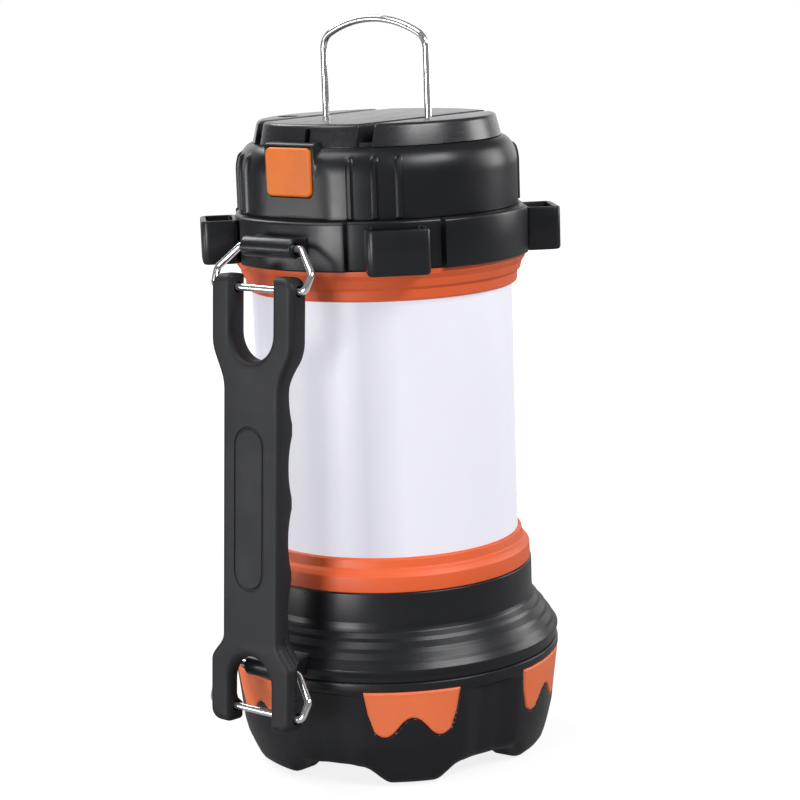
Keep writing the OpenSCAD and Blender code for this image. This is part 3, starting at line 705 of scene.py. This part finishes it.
def outside_patch(x, z):
    """Rough distance outside a patch's edge, negative within it."""
    x = abs(x)
    slope = WAVE_HEIGHT * math.pi / WAVE_X * math.sin(math.pi * x / WAVE_X)
    below = (patch_low(min(x, PATCH_SIDE[0][1])) - z) / math.hypot(1, slope)
    return max(x - patch_half(z), z - PATCH_TOP, below)


def crown_column(azimuth):
    """Outline at an azimuth: foot, wall with the patch's pocket, rim, bore and mouth."""
    off = angle_from(azimuth, FIRST_LOBE, LOBE_PITCH)
    valley = VALLEY * smooth(VALLEY_FROM, VALLEY_TO, abs(off))
    foot = FOOT_GAP * smooth(FOOT_FROM, FOOT_TO, abs(off))
    lower = rounded([(35, foot), (crown_side(foot + 0.4) - valley, foot, FOOT_ROUND),
                     (crown_side(12) - valley, 12, 12),
                     (crown_side(WALL_LOW - 0.1) - valley, WALL_LOW - 0.1)], steps=5)
    wall = []
    for z in spaced(WALL_LOW, WALL_HIGH, 56):
        r = crown_side(z) - valley * (1 - smooth(VALLEY_FADE, VALLEY_TOP, z))
        away = outside_patch(r * math.sin(math.radians(off)), z)
        wall.append((r - POCKET_DEPTH * smooth(0.35, -0.1, away), z))
    upper = rounded([(CROWN_R, WALL_HIGH + 0.1), (CROWN_R, CROWN_TOP, 0.5), (46, CROWN_TOP)])
    inner = [(42.8, CROWN_TOP), (42.8, 20), (40.5, 19.5), (38.6, 10), (36.8, 7.5), (36.8, 19.2),
             (34.2, 19.2), (34.2, 15), (31.5, 15)]
    mouth = rounded([(31.5, 14), (31.5, 12, 1.5), (33.5 - foot / 6, foot, 0.8), (34.8, foot)])
    return lower + wall + upper + inner + mouth


def crown_patch(azimuth):
    """Coloured insert that fills its pocket and follows the crown's side."""
    columns, rows = 72, 28
    outer, inner = [], []
    for i in range(columns + 1):
        u = math.sin(math.pi / 2 * (2 * i / columns - 1))
        foot = patch_low(u * PATCH_SIDE[0][1])
        for j in range(rows + 1):
            v = (1 - math.cos(math.pi * j / rows)) / 2
            z = foot + (PATCH_TOP - foot) * v
            half = patch_half(z)
            edge = min((1 - abs(u)) * half, v * (PATCH_TOP - foot), (1 - v) * (PATCH_TOP - foot))
            fall = PATCH_FALL * (1 - min(edge / PATCH_ROUND, 1)) ** 2
            side = crown_side(z)
            for layer, r in ((outer, side + PATCH_PROUD - fall), (inner, side - PATCH_BACK)):
                a = math.radians(azimuth) + math.asin(u * half / r)
                layer.append((r * math.sin(a), -r * math.cos(a), z))
    count = len(outer)

    def at(i, j):
        return i * (rows + 1) + j

    faces = []
    for i in range(columns):
        for j in range(rows):
            quad = (at(i, j), at(i + 1, j), at(i + 1, j + 1), at(i, j + 1))
            faces += [quad, tuple(k + count for k in reversed(quad))]
    rim = [at(i, 0) for i in range(columns)] + [at(columns, j) for j in range(rows)]
    rim += [at(i, rows) for i in range(columns, 0, -1)] + [at(0, j) for j in range(rows, 0, -1)]
    faces += [(a, a + count, b + count, b) for a, b in zip(rim, rim[1:] + rim[:1])]
    return outer + inner, faces


def make_crown():
    """Crown of lobes and feet round the searchlight's mouth, with a patch on each lobe."""
    crown = plain_object("crown", [polar(crown_column)])
    dress(crown, "body", "black_plastic", "crown_bezel")
    for i in range(LOBES):
        patch = plain_object(f"patch_{i + 1}", [crown_patch(FIRST_LOBE + i * LOBE_PITCH)])
        dress(patch, "body", "orange_patch", f"crown_insert_{i + 1}")


# ---- Lugs, head and rings ----

def wire_hole(at, half=18):
    """Cutter for a ring's wire."""
    return rod(at - Vector((half, 0, 0)), at + Vector((half, 0, 0)), BORE_R)


def make_lug(name, at, half, back_y):
    """Tube on a web that carries a wire ring, with a flare where the web meets its housing."""
    front = arc((at.y, at.z), LUG_R, 90, 270, 24)
    web = rounded([(at.y + 1, at.z - LUG_R + 0.3), (at.y + 3, at.z - LUG_R + 0.6, 1.5),
                   (back_y, at.z - LUG_R - 0.3)])
    outline = front + web + [(a, 2 * at.z - b) for a, b in reversed(web)]
    lug = plain_object(name, [slab(outline, -half, half, 0.45, lambda a, b, h: (h, a, b))])
    carve(lug, [wire_hole(at)])
    dress(lug, "body", "black_plastic")


def make_head():
    """Ridged cone over the crown, with the lower lug of the strap."""
    z = CROWN_TOP
    outer = rounded([
        (46, z), (47.2, z, 0.3), (47.2, z + 1.5, 0.8), (CROWN_R, z + 3, 0.5),
        (CROWN_R, z + 3.6, 0.5), (46.7, z + 5.2, 0.8), (46.2, z + 6.2, 0.8), (44.9, z + 7.8, 0.8),
        (44.4, z + 8.8, 0.8), (42.9, z + 10.4, 0.8), (42.4, z + 11.3, 0.8), (41.2, z + 12.6, 1.2),
        (40.8, z + 13.7, 1.5), (40.6, z + 15.2, 1.5), (40.6, HEAD_TOP, 0.5), (39.5, HEAD_TOP)])
    inner = [(37.7, HEAD_TOP), (37.7, 47), (39.6, 40), (39.6, z - 9.8), (42.3, z - 9.8), (42.3, z)]
    head = plain_object("head", [turned(outer + inner, 360)])
    dress(head, "body", "black_plastic", "head_housing")
    make_lug("lower_lug", LOWER_LUG, LOWER_LUG_HALF, -44.5)


def make_trim_rings():
    """The two coloured, stepped bands that hold the tube."""
    z = HEAD_TOP
    lower = rounded([(38, z), (40.3, z, 0.4), (40.15, z + 4.4, 0.8), (39.2, z + 5.6, 0.8),
                     (38.3, z + 6.4, 0.7), (37.95, GLASS_LOW - 0.5, 0.4), (37.3, GLASS_LOW, 0.25),
                     (36.95, GLASS_LOW - 0.2)])
    lower += [(36.95, z + 2.5), (36, z + 2.5), (36, z)]
    band = plain_object("lower_ring_band", [turned(lower)])
    dress(band, "body", "orange_plastic", "lower_trim_ring")
    z = GLASS_HIGH
    upper = rounded([(36.95, z + 0.2), (37.5, z, 0.3), (38.35, z + 0.5, 0.5), (38.55, z + 3.2, 0.6),
                     (39.4, z + 4, 0.6), (39.9, z + 6, 0.6), (40.85, z + 7.4, 0.6),
                     (40.9, COLLAR_LOW)])
    upper += [(36, COLLAR_LOW), (36, COLLAR_LOW - 2.9), (36.95, COLLAR_LOW - 2.9)]
    band = plain_object("upper_ring_band", [turned(upper)])
    dress(band, "body", "orange_plastic", "upper_trim_ring")


def make_tube():
    """Frosted tube between the two bands."""
    bore = GLASS_R - GLASS_WALL
    foot, head = low("diffuser").z, high("diffuser").z
    corners = [(bore, foot), (GLASS_R, foot), (GLASS_R, head), (bore, head)]
    outline = rounded([corner + (0.3,) for corner in corners], True)
    glass = plain_object("frosted_glass", [turned(outline, 360)])
    dress(glass, "body", "frosted_tube", "diffuser")


# ---- Collar ----

def collar_column(azimuth):
    """Outline at an azimuth: the collar is thinner round its grip blocks."""
    off = abs(angle_from(azimuth, 45, 90))
    r = COLLAR_R - RECESS * smooth(RECESS_HALF + 0.6, RECESS_HALF - 0.6, off)
    outer = rounded([(39, COLLAR_LOW), (r, COLLAR_LOW, 0.5), (r, DOME_LOW, 0.9), (38.6, DOME_LOW)])
    return outer + [(36.4, DOME_LOW), (36.4, COLLAR_LOW)]


def grip_block(azimuth):
    """Box with thin walls and a deep pocket in its top, on the outside of the collar."""
    a = math.radians(azimuth)

    def level(back, z, pocket=False):
        """Outline set back from the block's outside; in the pocket it keeps clear of the collar."""
        root = POCKET_ROOT if pocket else BLOCK_ROOT
        middle = (BLOCK_R + root - (back if pocket else 0)) / 2
        length = BLOCK_R - root - back * (1 if pocket else 2)
        corner = max(1.9 - back * 0.6, 0.5)
        return [(x * math.cos(a) + (middle + y) * math.sin(a),
                 x * math.sin(a) - (middle + y) * math.cos(a), z)
                for x, y in rounded_rect(2 * (BLOCK_HALF - back), length, corner)]

    floor = BLOCK_HIGH - POCKET
    outside = [(0.9, BLOCK_LOW), (0.35, BLOCK_LOW + 0.15), (0, BLOCK_LOW + 0.8),
               (0, BLOCK_HIGH - 0.5), (0.12, BLOCK_HIGH - 0.15), (0.45, BLOCK_HIGH)]
    inside = [(1.1, BLOCK_HIGH), (1.45, BLOCK_HIGH - 0.12), (BLOCK_WALL, BLOCK_HIGH - 0.5),
              (1.8, floor + 0.6), (2.3, floor)]
    return loft([level(*step) for step in outside] + [level(*step, pocket=True) for step in inside])


def make_collar():
    """Collar with its four grip blocks and the upper lug of the strap."""
    band = plain_object("collar_band", [polar(collar_column)])
    dress(band, "body", "black_plastic", "collar")
    for i, azimuth in enumerate(BLOCK_AZIMUTHS):
        block = plain_object(f"grip_block_{i + 1}", [grip_block(azimuth)])
        dress(block, "body", "black_plastic")
    make_lug("upper_lug", UPPER_LUG, UPPER_LUG_HALF, -40.5)


# ---- Dome and top ----

def flat_wall(distance, off):
    """Radius at which a flat wall stands, at an angle off its middle."""
    return distance / math.cos(math.radians(off)) if abs(off) < PAD_REACH else FAR


def along_wall(distance, off):
    """How far along a flat wall an angle off its middle meets it."""
    return distance * abs(math.tan(math.radians(off))) if abs(off) < PAD_REACH else FAR


def dome_column(azimuth):
    """Outline at an azimuth: wall with ribs and flat pads, shoulder or button boss, and bore."""
    front = angle_from(azimuth, 0)
    back = angle_from(azimuth, 180)
    rib = max(smooth(RIB_HALF + 0.45, RIB_HALF - 0.35, abs(abs(off) - at))
              for off in (front, back) for at in RIBS)
    pad = flat_wall(PAD_Y, front)
    port_pad = flat_wall(PORT_PAD_Y, back)
    port = smooth(PORT_HALF + 0.3, PORT_HALF - 0.3, along_wall(PORT_PAD_Y, back))
    boss = smooth(BOSS_HALF + 0.35, BOSS_HALF - 0.25, along_wall(PAD_Y, front))

    def limited(r, z):
        """Radius held back by the front pad, with a soft bend, and by the port's pad."""
        blend = min(max(0.5 + (pad - r) / (2 * PAD_BLEND), 0), 1)
        r = pad + (r - pad) * blend - PAD_BLEND * blend * (1 - blend)
        return r - port * smooth(PORT_TOP + 0.4, PORT_TOP, z) * max(r - port_pad, 0)

    wall = [(38.6, DOME_LOW), (DOME_R - 0.35, DOME_LOW), (DOME_R - 0.05, DOME_LOW + 0.3)]
    wall += [(DOME_R, z) for z in spaced(DOME_LOW + 0.8, SHOULDER, 24)]
    wall = [(limited(r, z) + RIB_PROUD * rib * smooth(DOME_LOW + 0.3, DOME_LOW + 0.7, z), z)
            for r, z in wall]
    curve = []
    for a in spaced(0, math.pi / 2, 24)[1:]:
        r = SHOULDER_R + (DOME_R - SHOULDER_R) * math.cos(a)
        z = SHOULDER + (PLATE_LOW - SHOULDER) * math.sin(a)
        proud = RIB_PROUD * rib * smooth(RIB_TOP + 0.8, RIB_TOP - 1.2, z)
        curve.append((limited(r, z) + proud * math.cos(a), z + proud * math.sin(a)))
    shoulder = resampled(curve + [(PLATE_BORE, PLATE_LOW)], SHOULDER_POINTS)
    if boss:
        edge = rounded([(pad, SHOULDER + 0.5), (pad, BOSS_TOP, 1.2), (PLATE_BORE, BOSS_TOP)])
        shoulder = [(r0 + (r1 - r0) * boss, z0 + (z1 - z0) * boss)
                    for (r0, z0), (r1, z1) in zip(shoulder, resampled(edge, SHOULDER_POINTS))]
    bore = [(PLATE_BORE, PLATE_LOW - 2.5), (DOME_INNER, SHOULDER - 2), (DOME_INNER, DOME_LOW)]
    return wall + shoulder + bore


def facing(side, z0):
    """Puts a flat outline on a wall that faces -Y (side -1) or +Y (side 1)."""
    return lambda a, b, h: (-side * a, side * h, z0 + b)


def make_dome():
    """Dome with a window for the push button and one for the charging port."""
    dome = plain_object("dome", [polar(dome_column)])
    width, height = (size + 2 * BUTTON_GAP for size in BUTTON_SIZE)
    button_window = slab(rounded_rect(width, height, 1.9), 30, 50, 0.2, facing(-1, BUTTON_Z))
    port_z = (COVER_LOW.z + COVER_HIGH.z) / 2 - 0.2
    port_window = slab(rounded_rect(12, 6.2, 1.2), 30, 50, 0.2, facing(1, port_z))
    carve(dome, [button_window, port_window])
    dress(dome, "body", "black_plastic", "dome_housing")


def plate_part(r, x0, x1):
    """Counterclockwise outline of the part of a disc between two lines along Y."""
    cut_low, cut_high = x0 > -r, x1 < r
    x0, x1 = max(x0, -r), min(x1, r)
    start = math.degrees(math.atan2(-math.sqrt(r * r - x0 * x0), x0))
    end = math.degrees(math.atan2(-math.sqrt(r * r - x1 * x1), x1))
    near = arc((0, 0), r, start if start < end else start - 360, end, 40)
    far = [(a, -b) for a, b in reversed(near)]
    if cut_low:
        near[0] += (PLATE_CORNER,)
        far[-1] += (PLATE_CORNER,)
    else:
        far.pop()
    if cut_high:
        near[-1] += (PLATE_CORNER,)
        far[0] += (PLATE_CORNER,)
    else:
        far.pop(0)
    return rounded(near + far, True, 3)


def plate_piece(x0, x1, proud):
    """One raised part of the top: its outer wall leans in and its rims are rounded."""
    levels = [(0, 0, PLATE_LOW + 0.2), (1.25, 0, TOP - 1.0), (1.45, 0.02, TOP - 0.5),
              (1.8, 0.08, TOP - 0.2), (2.3, 0.2, TOP - 0.05), (2.8, 0.35, TOP)]
    loops = []
    for lean, back, z in levels:
        outline = plate_part(PLATE_R + proud - lean, x0 + back, x1 - back)
        loops.append([(a, b, z) for a, b in outline])
    return loft(loops)


def make_top_floor():
    """Sunk floor under the bail's grooves."""
    foot = PLATE_LOW - 1
    disc = turned(rounded([(3, foot), (FLOOR_R, foot), (FLOOR_R, GROOVE_LOW, 0.3),
                           (3, GROOVE_LOW)]))
    core = rod((0, 0, foot), (0, 0, GROOVE_LOW), 3.2)
    dress(plain_object("top_floor", [disc, core]), "body", "top_gloss")


def make_top_middle():
    """Part between the grooves, with a small moulded slit beside the push button."""
    half = GROOVE_X - GROOVE_INNER
    middle = plain_object("top_middle", [plate_piece(-half, half, 0)])
    outline = rounded_rect(*SLIT_SIZE, 0.4)
    verts, faces = slab(outline, 30.5, 40, 0.1, facing(-1, PLATE_LOW + 2.9))
    turn = Matrix.Rotation(math.radians(SLIT_TURN), 3, "Z")
    carve(middle, [([turn @ Vector(v) for v in verts], faces)])
    dress(middle, "body", "top_gloss", "top_plate")


def make_top_sides():
    """Parts outside the grooves, with the bail's bores and the charge indicator's hole."""
    near = GROOVE_X + GROOVE_OUTER
    pivot = Vector((0, 0, BAIL_PIVOT))
    light = (low("charge_indicator") + high("charge_indicator")) / 2
    hole = rod((light.x, light.y, TOP - 2), (light.x, light.y, TOP + 2), INDICATOR_R)
    for name, side, extra in (("top_left", -1, [hole]), ("top_right", 1, [])):
        edges = sorted((side * near, side * FAR))
        piece = plain_object(name, [plate_piece(*edges, PLATE_SIDE_PROUD)])
        bore = rod(pivot + Vector((side * 15, 0, 0)), pivot + Vector((side * 24, 0, 0)), BORE_R)
        carve(piece, [bore] + extra)
        dress(piece, "body", "top_gloss")


def make_button():
    """Cap of the push button, with the stem that presses the switch."""
    face = -BUTTON_LOW.y
    cap = slab(rounded_rect(*BUTTON_SIZE, 1.7), face - 2.7, face, 0.75, facing(-1, BUTTON_Z), 6)
    stem_z = BUTTON_Z - 2
    stem = rod((0, BUTTON_HIGH.y, stem_z), (0, BUTTON_LOW.y + 2, stem_z), 2, 0.3)
    button = plain_object("push_button", [cap, stem])
    dress(button, "button", "orange_button", "button")


def make_port_cover():
    """Rubber flap with a raised pad outside and a plug inside."""
    middle = (COVER_LOW.z + COVER_HIGH.z) / 2
    height = COVER_HIGH.z - COVER_LOW.z
    face = COVER_HIGH.y
    flap = slab(rounded_rect(17, height, 1.4), face - 1.6, face - 0.2, 0.55, facing(1, middle))
    pad_outline = rounded_rect(12.5, height - 3.6, 1.2)
    pad = slab(pad_outline, face - 0.8, face, 0.35, facing(1, middle + 0.3))
    plug = slab(rounded_rect(11, 5, 1.0), COVER_LOW.y, face - 1, 0.3, facing(1, middle - 0.2))
    cover = plain_object("port_flap", [flap, pad, plug])
    dress(cover, "port_cover", "cover_rubber", "port_cover")


# ---- Wires ----

def make_bail():
    """Wire bail: two legs, a tight corner over each, and a wide arch."""
    arch_z = BAIL_TOP - BAIL_ARCH
    corner_x = BAIL_X - BAIL_CORNER
    corner_z = arch_z + math.sqrt((BAIL_ARCH - BAIL_CORNER) ** 2 - corner_x ** 2)
    turn = math.degrees(math.atan2(corner_z - arch_z, corner_x))
    foot = [(BAIL_END, BAIL_PIVOT), (BAIL_X, BAIL_PIVOT, 2.2), (BAIL_X, corner_z - 3)]
    right = rounded(foot, steps=8) + arc((corner_x, corner_z), BAIL_CORNER, 0, turn, 10)[:-1]
    right += arc((0, arch_z), BAIL_ARCH, turn, 90, 16)
    line = right + mirrored(right[:-1])
    bail = plain_object("wire_bail", [tube([(a, 0, b) for a, b in line], WIRE_R)])
    dress(bail, "bail", "chrome_wire", "bail", sharp=WIRE_SHARP)


def make_ring(name, lug_at, body):
    """Six sided wire ring that hangs from a lug, with its foot through the fork."""
    down = RING_VECTOR.normalized()
    half = [(10.9, 0, 1.9), (17, -6.8, 2.2), (16.3, -RING_VECTOR.length, 1.7)]
    outline = rounded(half + mirrored(half), True, 7)
    path = [lug_at + Vector((a, 0, 0)) - down * b for a, b in outline]
    ring = plain_object(name, [tube(path, WIRE_R, closed=True)])
    dress(ring, body, "chrome_wire", body, sharp=WIRE_SHARP)


# ---- Strap handle ----

def flare(start, end, count=10):
    """Half widths from the strap's middle, at start, to a fork's full width, at end."""
    return [(STRAP_HALF + (FORK_HALF - STRAP_HALF) * (1 - math.cos(math.pi * t)) / 2,
             start + (end - start) * t) for t in spaced(0, 1, count)]


def strap_outline():
    """Counterclockwise outline of the strap with a slot in each forked end."""
    side = rounded([(SLOT_R, STRAP_LOW + 2, 0), (SLOT_R, STRAP_LOW, 1.6),
                    (FORK_HALF, STRAP_LOW, TINE_CORNER), (FORK_HALF, STRAP_LOW + 9)], steps=6)[1:]
    side += reversed(flare(STRAP_LOW + 24.5, STRAP_LOW + 17))
    side += [(STRAP_HALF, v) for v in spaced(STRAP_LOW + 26, STRAP_HIGH - 32.5, 5)]
    side += flare(STRAP_HIGH - 31, STRAP_HIGH - 17.5)
    side += rounded([(FORK_HALF, STRAP_HIGH - 9), (FORK_HALF, STRAP_HIGH, TINE_CORNER),
                     (SLOT_R, STRAP_HIGH, 1.6), (SLOT_R, STRAP_HIGH - 2)], steps=6)[:-1]
    upper_slot = arc((0, STRAP_HIGH - 15.5), SLOT_R, 0, -180, 24)
    lower_slot = arc((0, STRAP_LOW + 12), SLOT_R, 180, 0, 24)
    return side + upper_slot + mirrored(side) + lower_slot


def inner_depth(v):
    """How far the face toward the body is sunk: finger grooves, and room for the lower lug."""
    fingers = max(max(0, FINGER_DEPTH - (v - at) ** 2 / (2 * FINGER_R)) for at in FINGERS)
    relief = 2.6 * smooth(0.9, 2.4, v) * smooth(15.4, 14.0, v)
    return max(fingers, relief)


def on_strap(a, b, h):
    """Point a across the strap, b up it and h through it."""
    return LOWER_HOLE + Vector((a, 0, 0)) + V * b + D * h


def strap_solid():
    """The strap, sliced across so that its inner face can sink, and put in its place."""
    half = STRAP_T / 2
    verts, faces = slab(strap_outline(), -half, half, STRAP_ROUND, lambda a, b, h: (a, b, h), 5)
    work = bmesh.new()
    corners = [work.verts.new(v) for v in verts]
    for face in faces:
        work.faces.new([corners[i] for i in face])
    for v in spaced(STRAP_LOW + 1.5, STRAP_HIGH - 1.5, 80):
        everything = work.verts[:] + work.edges[:] + work.faces[:]
        bmesh.ops.bisect_plane(work, geom=everything, dist=1e-5, plane_co=(0, v, 0),
                               plane_no=(0, 1, 0))
    for vert in work.verts:
        a, b, h = vert.co
        if h > 0:
            h -= inner_depth(b) * min(h / (half - 0.6), 1)
        vert.co = on_strap(a, b, h)
    index = {vert: i for i, vert in enumerate(work.verts)}
    solid = ([vert.co.copy() for vert in work.verts],
             [[index[v] for v in face.verts] for face in work.faces])
    work.free()
    return solid


def oval_groove():
    """Cutter for the engraved oval line on the strap's outer face."""
    radius = OVAL_WIDTH / 2 - 0.4
    reach = (OVAL_LENGTH - OVAL_WIDTH) / 2
    line = arc((0, OVAL_AT + reach), radius, 0, 180, 28)
    line += arc((0, OVAL_AT - reach), radius, 180, 360, 28)
    return tube([on_strap(a, b, -STRAP_T / 2 - 0.05) for a, b in line], 0.5, True, 12)


def side_slot(side):
    """Cutter for the shallow groove along one outer edge of the lower fork."""
    edge = [(a, b) for a, b in strap_outline() if a > STRAP_HALF - 1 and 1 < b < 24]
    return tube([on_strap(side * (a + 0.25), b, -0.4) for a, b in edge], 0.8, sides=12)


def make_handle():
    """Forked strap with finger grooves, an engraved oval and bores for its two rings."""
    handle = plain_object("strap_handle", [strap_solid()])
    bores = [wire_hole(LOWER_HOLE), wire_hole(UPPER_HOLE)]
    carve(handle, [oval_groove()] + bores + [side_slot(-1), side_slot(1)])
    dress(handle, "handle", "handle_rubber", "handle", sharp=40)


# ---- Stage ----

def softbox(name, azimuth, height, distance, size, power):
    """Soft rectangular lamp, unseen by the camera, that looks at the object's middle."""
    lamp = bpy.data.lights.new(name, "AREA")
    lamp.shape = "RECTANGLE"
    lamp.size, lamp.size_y = size
    lamp.energy = power
    obj = bpy.data.objects.new(name, lamp)
    a = math.radians(azimuth)
    obj.location = (distance * math.sin(a), -distance * math.cos(a), height)
    toward = Vector((0, 0, LAMP_AIM)) - obj.location
    obj.rotation_euler = toward.to_track_quat("-Z", "Y").to_euler()
    obj.visible_camera = False
    bpy.context.scene.collection.objects.link(obj)


def floor_paint():
    """Pale floor that lights itself for the camera only, and a little less around the object."""
    paint = Paint("floor_paint", Emission_Color=(1, 1, 1, 1), Roughness=0.9)
    shades = [(grey, grey, grey, 1) for grey in (0.17, 0.19)]
    paint.link(paint.mix(paint.noise(4.0), *shades), "Base Color")
    away = paint.node("ShaderNodeVectorMath", Vector=paint.coords)
    away.operation = "LENGTH"
    glow = paint.span(away.outputs["Value"], 0.05, 0.5, 0.84, 1.0)
    seen = paint.node("ShaderNodeLightPath").outputs["Is Camera Ray"]
    glow = paint.math("MULTIPLY", glow, paint.span(seen, 0.0, 1.0, 0.1, 1.0))
    paint.link(glow, "Emission Strength")
    return paint.material


def make_floor():
    """Wide floor, just under the crown's feet."""
    mesh = bpy.data.meshes.new("floor")
    work = bmesh.new()
    bmesh.ops.create_grid(work, x_segments=8, y_segments=8, size=6)
    work.to_mesh(mesh)
    work.free()
    floor = bpy.data.objects.new("floor", mesh)
    floor.location.z = low("crown_bezel").z * MM - FLOOR_GAP
    bpy.context.scene.collection.objects.link(floor)
    floor.data.materials.append(floor_paint())


def make_world():
    """White backdrop that lights the object only a little."""
    world = bpy.data.worlds.new("studio")
    bpy.context.scene.world = world
    world.use_nodes = True
    tree = world.node_tree
    room = tree.nodes["Background"]
    room.inputs["Color"].default_value = (1, 1, 1, 1)
    path = tree.nodes.new("ShaderNodeLightPath")
    level = tree.nodes.new("ShaderNodeMapRange")
    level.inputs["To Min"].default_value = ROOM_LIGHT
    level.inputs["To Max"].default_value = 1.0
    tree.links.new(path.outputs["Is Camera Ray"], level.inputs["Value"])
    tree.links.new(level.outputs["Result"], room.inputs["Strength"])
    bpy.context.scene.view_settings.view_transform = "Standard"


def make_camera():
    """Camera at the picture's angle: it stands off the axis by azimuth, looks down and rolls."""
    azimuth, pan, pitch, roll = (math.radians(a) for a in CAMERA_ANGLES)
    forward = Vector((math.sin(pan) * math.cos(pitch), math.cos(pan) * math.cos(pitch),
                      -math.sin(pitch)))
    right = Vector((math.cos(pan), -math.sin(pan), 0))
    up = right.cross(forward)
    across = right * math.cos(roll) + up * math.sin(roll)
    upright = up * math.cos(roll) - right * math.sin(roll)
    spin = Matrix.Rotation(azimuth, 3, "Z")
    across, upright, forward = (spin @ v for v in (across, upright, forward))
    data = bpy.data.cameras.new("camera")
    data.lens = CAMERA_LENS
    data.sensor_width = 36
    camera = bpy.data.objects.new("camera", data)
    axes = Matrix((across, upright, -forward)).transposed().to_4x4()
    spot = Vector((CAMERA_DISTANCE * math.sin(azimuth), -CAMERA_DISTANCE * math.cos(azimuth),
                   CAMERA_HEIGHT)) * MM
    camera.matrix_world = Matrix.Translation(spot) @ axes
    bpy.context.scene.collection.objects.link(camera)
    bpy.context.scene.camera = camera


def paint_cad_nodes():
    """Gives every CAD node the look of its material slot."""
    for part in frame["record"]["subparts"]:
        node = nodes[part["node"]]
        node.data.materials.clear()
        node.data.materials.append(LOOKS[part["material_slot"]])


make_camera()
make_looks()
paint_cad_nodes()
make_crown()
make_head()
make_trim_rings()
make_tube()
make_collar()
make_dome()
make_top_floor()
make_top_middle()
make_top_sides()
make_button()
make_port_cover()
make_bail()
make_ring("upper_wire_ring", UPPER_LUG, "upper_ring")
make_ring("lower_wire_ring", LOWER_LUG, "lower_ring")
make_handle()
make_floor()
make_world()
for lamp in LAMPS:
    softbox(*lamp)
